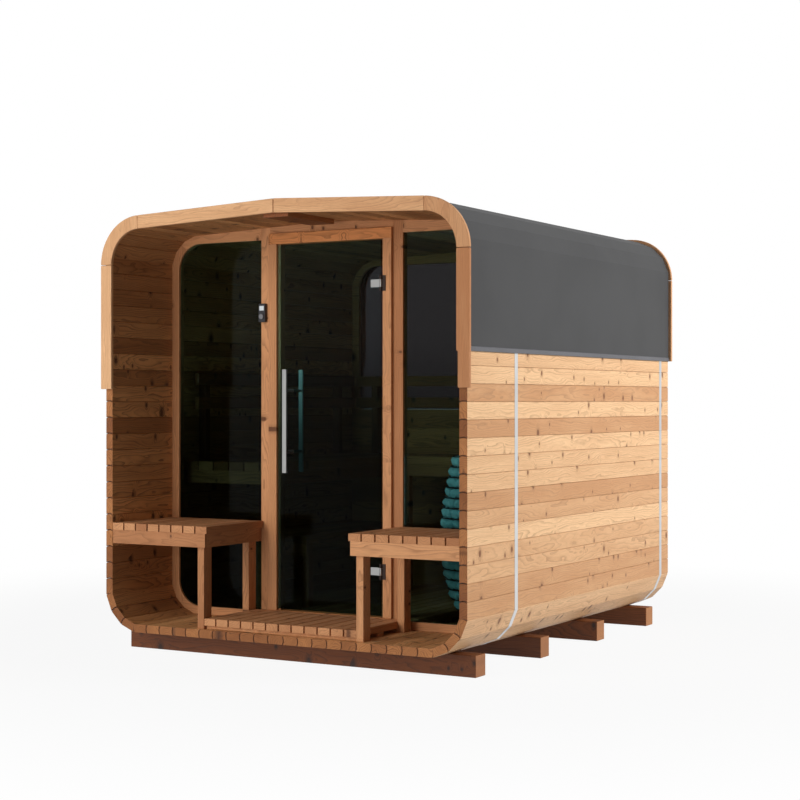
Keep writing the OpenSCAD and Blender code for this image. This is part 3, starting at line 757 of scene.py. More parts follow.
class Carpentry:
    """Makes boards with eased edges, and gives each its own cut of the log."""

    def __init__(self, seed: int) -> None:
        """Start with no master boards, and with the seed of the cuts."""
        self.random = random.Random(seed)
        self.masters: dict[tuple[float, ...], Object] = {}

    def give_grain(
        self, obj: Object, along: Along, turn: Matrix | None = None, board: float | None = None
    ) -> None:
        """Write the place of every face corner in its log, and the board's own number.

        The wider side of the board lies across the log, the thinner one towards its heart.

        Args:
            obj: The board, with its place in its mesh.
            along: The axis of its length.
            turn: Turns the board back to that axis, where it lies askew.
            board: The board's number from 0 to 1, or None for a random one.
        """
        mesh = obj.data
        points = np.empty(len(mesh.vertices) * 3, np.float32)
        mesh.vertices.foreach_get("co", points)
        points = points.reshape(-1, 3).astype(float)
        if turn is not None:
            points = points @ np.array(turn.to_3x3(), float).T
        low, high = points.min(0), points.max(0)
        across, deep = sorted(
            {0, 1, 2} - {along.value}, key=lambda axis: -round(high[axis] - low[axis], 4))
        local = (points - (low + high) / 2)[:, [along.value, across, deep]]
        pick = self.random.random
        heart = (0.02 + 0.07 * pick()) * (1 if pick() < 0.5 else -1)
        local += np.array([60.0 * pick(), 0.16 * (pick() - 0.5), heart])
        corners = np.empty(len(mesh.loops), np.int32)
        mesh.loops.foreach_get("vertex_index", corners)
        grain = mesh.attributes.get("grain") or mesh.attributes.new("grain", "FLOAT_VECTOR", "CORNER")
        grain.data.foreach_set("vector", local[corners].astype(np.float32).ravel())
        number = mesh.attributes.get("board") or mesh.attributes.new("board", "FLOAT", "CORNER")
        value = pick() if board is None else board
        number.data.foreach_set("value", np.full(len(corners), value, np.float32))

    def master(self, size: Vector, ease: float) -> Object:
        """Model a board of a size once, centred at the origin, with chamfered edges.

        Args:
            size: Its size along each axis.
            ease: Width of the chamfers.

        Returns:
            The master board.
        """
        key = tuple(round(v, 5) for v in (*size, ease))
        if key not in self.masters:
            obj = box_between(-size / 2, size / 2)
            with editing(obj):
                bpy.ops.mesh.bevel(offset=ease, segments=2, affect="EDGES", clamp_overlap=True)
            self.masters[key] = hidden(obj)
        return self.masters[key]

    def board(
        self, low: Sequence[float], high: Sequence[float], along: Along, ease: float = 0.0015
    ) -> Object:
        """Make a board that fills a box.

        Args:
            low: Its lowest corner.
            high: Its highest corner.
            along: Direction of its grain.
            ease: Width of its chamfers.

        Returns:
            The board.
        """
        low, high = Vector(low), Vector(high)
        obj = copy_of(self.master(high - low, ease), "board", Matrix.Translation((low + high) / 2))
        self.give_grain(obj, along)
        return obj


def mark_sides(obj: Object, side_of: Callable[[Vector], Side]) -> None:
    """Write which painted shade each face of a board gets.

    Args:
        obj: The board.
        side_of: Tells a face's side from its normal.
    """
    mesh = obj.data
    values = np.zeros(len(mesh.loops), np.float32)
    for face in mesh.polygons:
        values[face.loop_start:face.loop_start + face.loop_total] = side_of(face.normal).value
    mesh.attributes.new("side", "FLOAT", "CORNER").data.foreach_set("value", values)


def spread(low: float, high: float, count: int, gap: float) -> list[Span]:
    """Share a span among boards with equal gaps, and return each one's start and end."""
    width = (high - low - (count - 1) * gap) / count
    return [(low + i * (width + gap), low + i * (width + gap) + width) for i in range(count)]


@dataclass(frozen=True)
class Section:
    """The cabin's cross section, read from the frame."""

    half_w: float
    floor_half: float
    base: float
    wall_low: float
    wall_top: float
    eave: float
    ridge: float
    stave_t: float
    front: float
    rear: float
    wall_staves: int = 21
    floor_staves: int = 21
    corner_staves: int = 3
    corner_step: float = math.pi / 8

    @classmethod
    def from_frame(cls) -> "Section":
        """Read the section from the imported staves.

        Returns:
            The section.
        """
        floor_low, floor_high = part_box("floor_staves")
        wall_low, wall_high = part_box("wall_right")
        return cls(
            half_w=wall_high.x, floor_half=floor_high.x, base=floor_low.z, wall_low=wall_low.z,
            wall_top=wall_high.z, eave=wall_high.z + (wall_high.x - floor_high.x),
            ridge=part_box("roof_right")[1].z, stave_t=floor_high.z - floor_low.z,
            front=floor_low.y, rear=floor_high.y,
        )

    @property
    def slope(self) -> float:
        """Pitch of the roof in radians."""
        return math.atan2(self.ridge - self.eave, self.floor_half)

    @property
    def corner_w(self) -> float:
        """Outer width of a stave in a corner."""
        return (self.half_w - self.floor_half) / sum(math.cos(self.corner_step * k) for k in (1, 2, 3))


@dataclass
class StaveShell:
    """The walls, floor, roof and corners, as staves with a bead on one edge and a cove on the other."""

    section: Section
    finishes: Finishes
    wood: Carpentry
    bead: float = 0.005
    chamfer: float = 0.0025
    joint: float = 0.002
    strips: int = 6

    def model_stave(
        self, width: float, narrowing: float, start: float = 1.0, end: float = 1.0
    ) -> Object:
        """Model one stave that lies along Y, outside down, with its first joint edge at X = 0.

        Args:
            width: Width at its outside.
            narrowing: How far each edge leans in over the thickness.
            start: Curve of the first edge: 1 is a cove, -1 a bead, 0 is flat.
            end: Curve of the last edge: 1 is a bead, 0 is flat.

        Returns:
            The master stave.
        """
        thick, half = self.section.stave_t, (self.section.rear - self.section.front) / 2
        gap = self.joint / 2
        obj = box_between((gap, -half, 0.0), (width - gap, half, thick))

        def is_rim(p: Vector) -> bool:
            """Say whether an edge's middle lies on a joint side's rim."""
            on_face = min(p.z, thick - p.z) < TOUCH or abs(p.y) > half - NEAR
            return on_face and not 0.3 * width < p.x < 0.7 * width

        def side_of(n: Vector) -> Side:
            """Tell the sawn ends, their rims at the joints, the inside and the outside apart; all but
            the outside get painted shade.

            Args:
                n: The face's normal.

            Returns:
                Which painted shade the face gets.
            """
            if abs(n.y) > 0.3:
                return Side.RIM_SHADE if abs(n.x) > 0.3 else Side.SAWN
            # The inside of every stave gets painted shade.
            return Side.PAINTED_SHADE if n.z > 0.5 else Side.OPEN

        with editing(obj):
            for k in range(1, self.strips):
                bpy.ops.mesh.select_all(action="SELECT")
                bpy.ops.mesh.bisect(plane_co=(0, 0, thick * k / self.strips), plane_no=(0, 0, 1))
            for k in range(self.strips + 1):
                share = k / self.strips
                bulge = self.bead * (1.0 - (2.0 * share - 1.0) ** 2)
                for first, shift in (
                    (True, narrowing * share + start * bulge),
                    (False, end * bulge - narrowing * share),
                ):
                    select_where(obj, "VERT", lambda p: (
                        abs(p.z - thick * share) < TOUCH and (p.x < width / 2) == first))
                    bpy.ops.transform.translate(value=(shift, 0.0, 0.0))
            select_where(obj, "EDGE", is_rim)
            bpy.ops.mesh.bevel(offset=self.chamfer, segments=2, affect="EDGES", clamp_overlap=True)
        mark_sides(obj, side_of)
        return hidden(obj)

    def run(
        self, start: tuple[float, float], angle: float, count: int, pitch: float,
        master: Object, flip: bool,
    ) -> list[Object]:
        """Lay staves side by side along one line of the section.

        Args:
            start: X and Z of its first outer joint.
            angle: Direction of the run, in radians.
            count: How many staves.
            pitch: Distance between joints.
            master: The stave to copy.
            flip: Whether the run is mirrored to the left side.

        Returns:
            The staves.
        """
        s = self.section
        turn = Matrix.Rotation(-angle, 4, "Y")
        made = []
        for k in range(count):
            x = start[0] + k * pitch * math.cos(angle)
            z = start[1] + k * pitch * math.sin(angle)
            stave = copy_of(master, "stave", Matrix.Translation((x, (s.front + s.rear) / 2, z)) @ turn)
            back = turn.inverted()
            if flip:  # the mirrored stave leans the other way
                stave.data.transform(Matrix.Scale(-1.0, 4, (1.0, 0.0, 0.0)))
                stave.data.flip_normals()
                back = turn
            self.wood.give_grain(stave, Along.Y, back)
            made.append(stave)
        return made

    def build(self) -> None:
        """Lay all the staves and dress them."""
        s, staves, step = self.section, self.finishes.staves, self.section.corner_step
        pitch = (s.wall_top - s.wall_low) / s.wall_staves
        flat = self.model_stave(pitch, 0.0)
        centre = self.model_stave(pitch, 0.0, start=-1.0)
        corner = self.model_stave(s.corner_w, s.stave_t * math.tan(step / 2))
        half = s.floor_staves // 2
        floor = self.run((-pitch / 2, s.base), 0.0, 1, pitch, centre, False)
        for flip in (False, True):
            floor += self.run((pitch / 2, s.base), 0.0, half, pitch, flat, flip)
        finish_piece(joined("floor_boards", floor), staves, ["floor_staves"])
        rest = s.floor_half / math.cos(s.slope) - half * pitch
        last = self.model_stave(rest, 0.0, end=0.0)
        slope = math.pi - s.slope
        for side, flip in (("left", True), ("right", False)):
            wall = self.run((s.half_w, s.wall_low), math.pi / 2, s.wall_staves, pitch, flat, flip)
            finish_piece(joined(f"wall_boards_{side}", wall), staves, [f"wall_{side}"])
            for place, start, first, slot in (
                ("floor", (s.floor_half, s.base), 1, "pale_wood"),
                ("roof", (s.half_w, s.wall_top), 5, "wood"),
            ):
                at, turned = start, []
                for k in range(s.corner_staves):
                    angle = step * (first + k)
                    turned += self.run(at, angle, 1, s.corner_w, corner, flip)
                    at = (at[0] + s.corner_w * math.cos(angle), at[1] + s.corner_w * math.sin(angle))
                name = f"corner_boards_{place}_{side}"
                finish_piece(joined(name, turned), staves, [f"corner_{place}_{side}"])
            roof = self.run((s.floor_half, s.eave), slope, half, pitch, flat, flip)
            run = half * pitch
            start = (s.floor_half + run * math.cos(slope), s.eave + run * math.sin(slope))
            roof += self.run(start, slope, 1, rest, last, flip)
            finish_piece(joined(f"roof_boards_{side}", roof), staves, [f"roof_{side}"])


@dataclass
class PorchBench:
    """A slatted seat on a frame with two legs."""

    side: str
    finishes: Finishes
    wood: Carpentry
    slats: int = 8
    gap: float = 0.008
    slat_t: float = 0.037
    over: float = 0.010
    rail_h: float = 0.071
    rail_t: float = 0.022
    leg: tuple[float, float] = (0.040, 0.066)

    def build(self) -> None:
        """Cut the slats, rails and legs, and join them."""
        node = f"porch_bench_{self.side}"
        low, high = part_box(node)
        sign = 1.0 if self.side == "right" else -1.0
        inner, outer = sorted((abs(low.x), abs(high.x)))
        rail_top = high.z - self.slat_t
        rail_low = rail_top - self.rail_h
        parts = []

        def add(x0: float, x1: float, y0: float, y1: float, z0: float, z1: float, along: Along) -> None:
            """Add a board given from the middle of the cabin outwards."""
            xs = sorted((sign * x0, sign * x1))
            parts.append(self.wood.board((xs[0], y0, z0), (xs[1], y1, z1), along))

        for x0, x1 in spread(inner, outer, self.slats, self.gap):
            add(x0, x1, low.y, high.y, rail_top, high.z, Along.Y)
        rail = inner + self.over
        add(rail, outer, low.y + 0.001, low.y + 0.001 + self.rail_t, rail_low, rail_top, Along.X)
        add(rail, outer, high.y - self.rail_t, high.y, rail_low, rail_top, Along.X)
        y0, y1 = low.y + 0.001 + self.rail_t, high.y - self.rail_t
        add(rail, rail + self.rail_t, y0, y1, rail_low, rail_top, Along.Y)
        add(outer - self.rail_t, outer, y0, y1, rail_low, rail_top, Along.Y)
        x0 = rail + self.rail_t
        for y in (y0, y1 - self.leg[1]):
            add(x0, x0 + self.leg[0], y, y + self.leg[1], low.z, rail_top, Along.Z)
        finish_piece(joined(f"porch_seat_{self.side}", parts), self.finishes.boards, [node])


@dataclass
class Duckboard:
    """Slats along Y on bearers that lie on the floor."""

    node: str
    name: str
    slats: int
    finishes: Finishes
    wood: Carpentry
    gap: float = 0.008
    slat_t: float = 0.036
    bearer_w: float = 0.060
    bearer_pitch: float = 0.290
    inset: float = 0.020

    def build(self) -> None:
        """Cut the slats and bearers, and join them."""
        low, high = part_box(self.node)
        parts = [
            self.wood.board((x0, low.y, high.z - self.slat_t), (x1, high.y, high.z), Along.Y)
            for x0, x1 in spread(low.x, high.x, self.slats, self.gap)
        ]
        run = high.y - low.y - 2 * self.inset - self.bearer_w
        spans = math.ceil(run / self.bearer_pitch)
        for i in range(spans + 1):
            y = low.y + self.inset + i * run / spans
            parts.append(self.wood.board(
                (low.x, y, low.z), (high.x, y + self.bearer_w, high.z - self.slat_t), Along.X))
        finish_piece(joined(self.name, parts), self.finishes.boards, [self.node])


def seen_directly(g: Graph) -> Socket:
    """Say whether the camera sees a surface, straight or by glass and metal.

    Args:
        g: The graph of the surface or the world.

    Returns:
        1 where it does, or else 0.
    """
    path = g.node("ShaderNodeLightPath")
    seen = g.math("MAXIMUM", path.outputs["Is Camera Ray"], path.outputs["Is Transmission Ray"])
    return g.math("MAXIMUM", seen, path.outputs["Is Glossy Ray"])


def build_floor() -> None:
    """Lay a white floor that keeps the object's shadow near it and is plain white far away."""
    deselect_all()
    bpy.ops.mesh.primitive_plane_add(size=160.0, location=(0.0, 0.0, -0.0005))
    floor = bpy.context.active_object
    floor.name = "studio_floor"
    material, g = new_material("studio floor")
    matte = g.node("ShaderNodeBsdfDiffuse")
    matte.inputs["Color"].default_value = (0.5, 0.5, 0.5, 1.0)
    glow = g.node("ShaderNodeEmission")
    glow.inputs["Color"].default_value = (1.0, 1.0, 1.0, 1.0)
    where = g.node("ShaderNodeTexCoord").outputs["Object"]
    far = g.smooth(g.vector("LENGTH", where), 2.0, 5.0, 0.92, 1.0)
    g.surface(g.either(g.math("MULTIPLY", seen_directly(g), far), matte, glow))
    floor.data.materials.append(material)


def build_studio() -> None:
    """Make the floor, the lamps, the world and the camera."""
    build_floor()
    world = bpy.data.worlds.new("studio")
    bpy.context.scene.world = world
    world.use_nodes = True
    g = Graph(world.node_tree)
    sky = g.node("ShaderNodeBackground")
    sky.inputs["Color"].default_value = (1.0, 1.0, 1.0, 1.0)
    g.put(sky.inputs["Strength"], g.smooth(seen_directly(g), 0.0, 1.0, 0.05, 1.0))
    g.put(g.node("ShaderNodeOutputWorld").inputs["Surface"], sky.outputs[0])
    for name, place, aim, size, power in (
        ("key", (8.6, 2.2, 4.6), (0.6, 0.0, 1.1), 3.5, 865.0),
        ("fill", (-3.0, -8.2, 4.8), (0.0, -1.0, 1.0), 4.0, 320.0),
        ("low fill", (-1.2, -7.5, 1.0), (0.0, -1.0, 2.0), 2.0, 170.0),
    ):
        lamp = bpy.data.lights.new(name, "AREA")
        lamp.size = size
        lamp.energy = power
        obj = bpy.data.objects.new(name, lamp)
        bpy.context.scene.collection.objects.link(obj)
        obj.location = place
        obj.rotation_euler = (Vector(aim) - Vector(place)).to_track_quat("-Z", "Y").to_euler()
        obj.visible_glossy = False
    camera = bpy.data.cameras.new("camera")
    camera.lens = CAMERA_LENS
    camera.sensor_width = 36.0
    obj = bpy.data.objects.new("camera", camera)
    bpy.context.scene.collection.objects.link(obj)
    obj.location = CAMERA_PLACE
    obj.rotation_euler = (math.radians(90.0), 0.0, math.radians(CAMERA_TURN))
    bpy.context.scene.camera = obj
    bpy.context.scene.view_settings.view_transform = "Standard"


def dress_nodes(finishes: Finishes) -> None:
    """Give every CAD node that stays its finish.

    Args:
        finishes: The cabin's finishes.
    """
    for names, material in (
        (("glass_left", "door_glass"), finishes.glass),
        (("glass_right",), finishes.stove_glass),
        (("rear_glass",), finishes.rear_glass),
        (("straps",), finishes.strap_steel),
        (("drip_edges",), finishes.drip_metal),
        (("roof_cover",), finishes.cover),
        (("hinge_leaves",), finishes.dark_steel),
        (("stove_cage", "stove_base"), finishes.stove_steel),
    ):
        for name in names:
            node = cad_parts[name]
            node.data.materials.clear()
            node.data.materials.append(material)


@dataclass
class PlainBoards:
    """Boards that fill their CAD node's box, each with its own grain."""

    finishes: Finishes
    wood: Carpentry

    def build(self) -> None:
        """Cut and dress every such board."""
        f = self.finishes
        for names, along, finish, slot, ease in (
            (("beam_front", "beam_second", "beam_third", "beam_rear"),
             Along.X, f.beams, "dark_wood", 0.003),
            (("ridge_board",), Along.Y, f.beams, "dark_wood", 0.002),
            (("door_head", "door_sill"), Along.X, f.boards, "wood", 0.002),
        ):
            for name in names:
                low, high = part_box(name)
                piece = joined(f"{name}_timber", [self.wood.board(low, high, along, ease)])
                if name == "door_head":
                    self.wood.give_grain(piece, along, board=0.0)
                # Painted shade on every face of these boards but their ends across X.
                mark_sides(piece, lambda n: Side.OPEN if abs(n.x) > 0.7 else Side.PAINTED_SHADE)
                finish_piece(piece, finish, [name])


@dataclass
class NodeBoards:
    """Pieces whose outline comes from their CAD node, with edges eased and grain added."""

    finishes: Finishes
    wood: Carpentry
    ease: float = 0.0018
    trim_ease: float = 0.003
    steel_ease: float = 0.0015
    open_joint: float = 0.0022
    spare: float = 0.01

    def cleaned(self, name: str) -> Object:
        """Copy a CAD node's mesh and merge its triangles into faces.

        Args:
            name: The CAD node.

        Returns:
            The copy.
        """
        obj = copy_of(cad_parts[name], f"{name}_timber", Matrix.Identity(4))
        obj.data.materials.clear()
        with editing(obj):
            bpy.ops.mesh.remove_doubles(threshold=0.00005)
            bpy.ops.mesh.dissolve_limited(angle_limit=math.radians(1.0))
        return obj

    def eased(self, obj: Object, ease: float) -> Object:
        """Round the sharp edges of a piece a little.

        Args:
            obj: The piece.
            ease: Width of the rounding.

        Returns:
            The same piece.
        """
        only(obj)
        modifier = obj.modifiers.new("ease", "BEVEL")
        modifier.width = ease
        modifier.segments = 2
        modifier.limit_method = "ANGLE"
        modifier.angle_limit = math.radians(40.0)
        bpy.ops.object.modifier_apply(modifier="ease")
        return obj

    def cut_back(self, obj: Object, point: Sequence[float], normal: Sequence[float]) -> None:
        """Cut a piece off beyond a plane and close the cut.

        Args:
            obj: The piece.
            point: A point of the plane.
            normal: The plane's normal, which points to what goes.
        """
        with editing(obj):
            bpy.ops.mesh.bisect(
                plane_co=tuple(point), plane_no=tuple(normal), use_fill=True, clear_outer=True)

    def frame_side(self, name: str, sign: float, tones: Sequence[float]) -> None:
        """Make one half of the front wall's frame from an upright and two rails that meet at mitres.

        Args:
            name: The CAD node.
            sign: -1 on the left, 1 on the right.
            tones: Board numbers of the upright, the top rail and the bottom rail.
        """
        whole = self.cleaned(name)
        low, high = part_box(name)
        outer = high.x if sign > 0 else low.x
        corners = {1.0: Vector((outer, 0.0, high.z)), -1.0: Vector((outer, 0.0, low.z))}
        upright = copy_of(whole, "frame_board", Matrix.Identity(4))
        for up, corner in corners.items():
            self.cut_back(upright, corner, (-sign, 0.0, up))
        boards = [upright]
        for up, corner in corners.items():
            rail = copy_of(whole, "frame_board", Matrix.Identity(4))
            self.cut_back(rail, corner, (sign, 0.0, -up))
            boards.append(rail)
        bpy.data.objects.remove(whole)
        for board, tone, along in zip(boards, tones, (Along.Z, Along.X, Along.X)):
            self.eased(board, self.ease)
            self.wood.give_grain(board, along, board=tone)
        finish_piece(joined(f"{name}_boards", boards), self.finishes.boards, [name])

    def trim(self, name: str, tones: Sequence[float]) -> None:
        """Make one half of the trim at one end.

        Args:
            name: The CAD node.
            tones: Board numbers of its upright, corner and sloping board.
        """
        whole = self.cleaned(name)
        with editing(whole):
            bpy.ops.mesh.separate(type="LOOSE")
        boards = sorted(bpy.context.selected_objects, key=lambda o: o.bound_box[1][2])
        for board, tone in zip(boards, tones):
            low, high = Vector(board.bound_box[0]), Vector(board.bound_box[6])
            lies = high.x - low.x > 2 * (high.z - low.z)
            if lies:
                self.cut_back(board, (low.x + self.open_joint, 0.0, 0.0), (-1.0, 0.0, 0.0))
                self.cut_back(board, (high.x - self.open_joint, 0.0, 0.0), (1.0, 0.0, 0.0))
            elif high.z - low.z > 2 * (high.x - low.x):
                self.cut_back(board, (0.0, 0.0, high.z - self.open_joint), (0.0, 0.0, 1.0))
            self.eased(board, self.trim_ease)
            self.wood.give_grain(board, Along.X if lies else Along.Z, board=tone)
        finish_piece(joined(f"{name}_boards", boards), self.finishes.trim, [name])

    def rear_wall(self, board_h: float = 0.120) -> None:
        """Cut the rear wall into its horizontal boards.

        Args:
            board_h: Height of a board.
        """
        low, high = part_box("rear_boards")
        master = self.cleaned("rear_boards")
        boards = []
        top = high.z
        while top > low.z + self.spare:
            bottom = max(top - board_h, low.z - self.spare)
            board = copy_of(master, "rear_board", Matrix.Identity(4))
            self.cut_back(board, (0.0, 0.0, top), (0.0, 0.0, 1.0))
            self.cut_back(board, (0.0, 0.0, bottom), (0.0, 0.0, -1.0))
            self.wood.give_grain(board, Along.X)
            # Painted shade on the boards' faces towards the hot room.
            mark_sides(board, lambda n: Side.PAINTED_SHADE if n.y < -0.5 else Side.OPEN)
            boards.append(board)
            top = bottom
        bpy.data.objects.remove(master)
        finish_piece(joined("rear_wall_boards", boards), self.finishes.boards, ["rear_boards"])

    def build(self) -> None:
        """Copy and dress the frames, posts, trim, rear boards and door fittings."""
        for name, along, tone in (
            ("post_left", Along.Z, 0.25), ("post_right", Along.Z, 0.9), ("jamb_left", Along.Z, 0.4),
            ("jamb_right", Along.Z, 0.3), ("transom", Along.X, 0.5), ("rear_frame", Along.X, 0.4),
        ):
            piece = self.eased(self.cleaned(name), self.ease)
            self.wood.give_grain(piece, along, board=tone)
            if name == "rear_frame":
                # Painted shade on every face of the rear frame.
                mark_sides(piece, lambda n: Side.PAINTED_SHADE)
            finish_piece(piece, self.finishes.boards, [name])
        self.frame_side("front_frame_left", -1.0, (0.45, 0.3, 0.6))
        self.frame_side("front_frame_right", 1.0, (0.5, 0.35, 0.5))
        for name in ("door_handle", "hinge_clamps"):
            piece = self.eased(self.cleaned(name), self.steel_ease)
            finish_piece(piece, self.finishes.satin_steel, [name], "door")
        self.rear_wall()
        self.trim("front_trim_left", (0.05, 0.25, 0.15))
        self.trim("front_trim_right", (0.95, 0.6, 0.35))
        self.trim("rear_trim_left", (0.2, 0.6, 0.7))
        self.trim("rear_trim_right", (0.4, 0.6, 0.8))


@dataclass
class HotRoomBenches:
    """The upper benches, the step bench and the backrests in the hot room."""

    finishes: Finishes
    wood: Carpentry
    side_slats: int = 6
    rear_slats: int = 5
    step_slats: int = 4
    gap: float = 0.008
    upper_t: float = 0.048
    step_t: float = 0.037
    rail_h: float = 0.071
    rail_t: float = 0.022
    post: float = 0.044
    back_h: float = 0.065
    back_t: float = 0.028
    back_pitch: float = 0.135
    back_inset: float = 0.100
    back_ease: float = 0.005
    leg_off_wall: float = 0.0534
    off: float = 0.001
    ease: float = 0.003

    def finish(
        self, name: str, parts: Sequence[Object], node: str, material: Material | None = None
    ) -> None:
        """Join boards with painted shade on every face, and let them stand for their node.

        Args:
            name: The piece's name.
            parts: Its boards.
            node: The CAD node.
            material: Its finish, or None for that of the boards.
        """
        piece = joined(name, parts)
        mark_sides(piece, lambda n: Side.PAINTED_SHADE)
        finish_piece(piece, material or self.finishes.boards, [node])

    def laid(
        self, along: Along, run: Span, side: Span, height: Span, grain: Along, ease: float = 0.0015
    ) -> Object:
        """Make a board from its spans along a bench, across it and in height."""
        xs, ys = (run, side) if along is Along.X else (side, run)
        return self.wood.board((xs[0], ys[0], height[0]), (xs[1], ys[1], height[1]), grain, ease)

    def frame_boards(
        self, xs: Span, ys: Span, top: float, cross: Sequence[float], along: Along
    ) -> list[Object]:
        """Make two long rails and the rails across between them.

        Args:
            xs: The frame's sides in X.
            ys: Its ends in Y.
            top: Height of the rails' top.
            cross: Where each rail across starts.
            along: Direction of the long rails, X or Y.

        Returns:
            The boards.
        """
        run, side, across = (xs, ys, Along.Y) if along is Along.X else (ys, xs, Along.X)
        height, t = (top - self.rail_h, top), self.rail_t
        rails = [self.laid(along, run, (a, a + t), height, along) for a in (side[0], side[1] - t)]
        between = (side[0] + t, side[1] - t)
        return rails + [self.laid(along, (a, a + t), between, height, across) for a in cross]

    def seat(
        self, low: Vector, high: Vector, thick: float, count: int, along: Along
    ) -> list[Object]:
        """Make the slats of a seat.

        Args:
            low: The bench's lowest corner.
            high: Its highest corner.
            thick: Thickness of the slats.
            count: How many slats.
            along: Direction of the slats, X or Y.

        Returns:
            The slats.
        """
        run, side = (low.y, high.y), (low.x, high.x)
        if along is Along.X:
            run, side = side, run
        height = (high.z - thick, high.z)
        slats = spread(*side, count, self.gap)
        return [self.laid(along, run, slat, height, along, self.ease) for slat in slats]

    def leg(self, x: float, y: float, low: float, top: float) -> Object:
        """Make a square leg from its lowest corner."""
        return self.wood.board((x, y, low), (x + self.post, y + self.post, top), Along.Z)

    def side_bench(self) -> None:
        """Build the upper bench along the left wall."""
        low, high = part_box("side_bench")
        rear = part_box("rear_bench")[0].y
        under, y0 = high.z - self.upper_t, low.y + self.off
        cross = rear - self.rail_t - self.off
        parts = self.seat(low, high, self.upper_t, self.side_slats, Along.Y)
        parts += self.frame_boards(
            (low.x, high.x), (y0, high.y), under, (y0, cross, high.y - self.rail_t), Along.Y)
        parts += [
            self.leg(high.x - self.rail_t - self.post, y, low.z, under - self.off)
            for y in (y0 + self.rail_t, cross - self.post)
        ]
        self.finish("side_bench_boards", parts, "side_bench")

    def rear_bench(self) -> None:
        """Build the upper bench along the rear wall."""
        low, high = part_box("rear_bench")
        floor_edge = Section.from_frame().floor_half
        under, y0 = high.z - self.upper_t, low.y + self.off
        parts = self.seat(low, high, self.upper_t, self.rear_slats, Along.X)
        middle = (low.x + high.x - self.rail_t) / 2
        parts += self.frame_boards(
            (low.x, high.x), (y0, high.y), under, (low.x, middle, high.x - self.rail_t), Along.X)
        parts += [
            self.leg(x, y0 + self.rail_t, low.z, under - self.off)
            for x in (low.x + self.rail_t, floor_edge - self.leg_off_wall)
        ]
        self.finish("rear_bench_boards", parts, "rear_bench")

    def step_bench(self) -> None:
        """Build the lower bench."""
        low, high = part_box("step_bench")
        under, y0 = high.z - self.step_t, low.y + self.off
        end = high.y - self.off - self.rail_t
        parts = self.seat(low, high, self.step_t, self.step_slats, Along.Y)
        for y in (y0, (low.y + high.y - self.rail_t) / 2, end):
            parts.append(self.wood.board(
                (low.x, y, under - self.rail_h), (high.x, y + self.rail_t, under), Along.X))
        for x in (low.x + self.off, high.x - self.off - self.post):
            for y in (y0 + self.rail_t, end - self.post):
                parts.append(self.leg(x, y, low.z, under - self.off))
        self.finish("step_bench_boards", parts, "step_bench")

    def backrests(self) -> None:
        """Build the rails behind both upper benches."""
        t, inset = self.back_t, self.back_inset
        for node, along in (("backrest_side", Along.Y), ("backrest_rear", Along.X)):
            low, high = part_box(node)
            if along is Along.Y:
                run, rail, behind = (low.y, high.y), (high.x - t, high.x), (low.x, high.x - t)
            else:
                run, rail, behind = (low.x, high.x), (low.y, low.y + t), (low.y + t, high.y)
            parts = [
                self.laid(along, run, rail, (top - self.back_h, top), along, self.back_ease)
                for top in (high.z, high.z - self.back_pitch)
            ]
            middle = (run[0] + run[1] - self.post) / 2
            for start in (run[0] + inset, middle, run[1] - inset - self.post):
                post = (start, start + self.post)
                parts.append(self.laid(along, post, behind, (low.z, high.z), Along.Z))
            self.finish(f"{node}_boards", parts, node, self.finishes.beams)

    def build(self) -> None:
        """Build all the benches."""
        self.side_bench()
        self.rear_bench()
        self.step_bench()
        self.backrests()


@dataclass
class ControlUnit:
    """The heater's control unit: a housing with a blank screen above a round knob."""

    finishes: Finishes
    knob_out: float = 0.008
    screen_out: float = 0.0008
    sunk: float = 0.002
    dish: float = 0.0015
    ease: float = 0.003
    screen_ease: float = 0.0004

    def block(
        self, low: Sequence[float], high: Sequence[float], ease: float, material: Material
    ) -> Object:
        """Make a block with rounded edges between two corners.

        Args:
            low: Its lowest corner.
            high: Its highest corner.
            ease: Width of the rounding.
            material: Its finish.

        Returns:
            The block.
        """
        part = box_between(low, high)
        part.data.materials.append(material)
        with editing(part):
            bpy.ops.mesh.bevel(offset=ease, segments=3, affect="EDGES", clamp_overlap=True)
        return part

    def build(self) -> None:
        """Model the housing, the screen and the knob."""
        f = self.finishes
        low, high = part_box("control_unit")
        w, h, x = high.x - low.x, high.z - low.z, (low.x + high.x) / 2
        mid, face = (low.z + high.z) / 2, low.y + self.knob_out
        housing = self.block((low.x, face, low.z), high, self.ease, f.plastic)
        screen = self.block(
            (x - w / 3, face - self.screen_out, mid + h / 8),
            (x + w / 3, face + self.sunk, mid + h / 2.7), self.screen_ease, f.screen)
        deselect_all()
        bpy.ops.mesh.primitive_cylinder_add(
            vertices=40, radius=w / 3, depth=self.knob_out + self.sunk,
            location=(x, low.y + (self.knob_out + self.sunk) / 2, mid - h / 5),
            rotation=(math.pi / 2, 0.0, 0.0))
        knob = bpy.context.active_object
        bpy.ops.object.transform_apply(location=True, rotation=True, scale=True)
        knob.data.materials.append(f.knob)
        with editing(knob):
            select_where(knob, "FACE", lambda p: p.y < low.y + NEAR)
            bpy.ops.mesh.inset(thickness=w / 24)
            bpy.ops.transform.translate(value=(0.0, self.dish, 0.0))
        panel = joined("control_panel", [housing, screen, knob])
        finish_piece(panel, None, ["control_unit"])


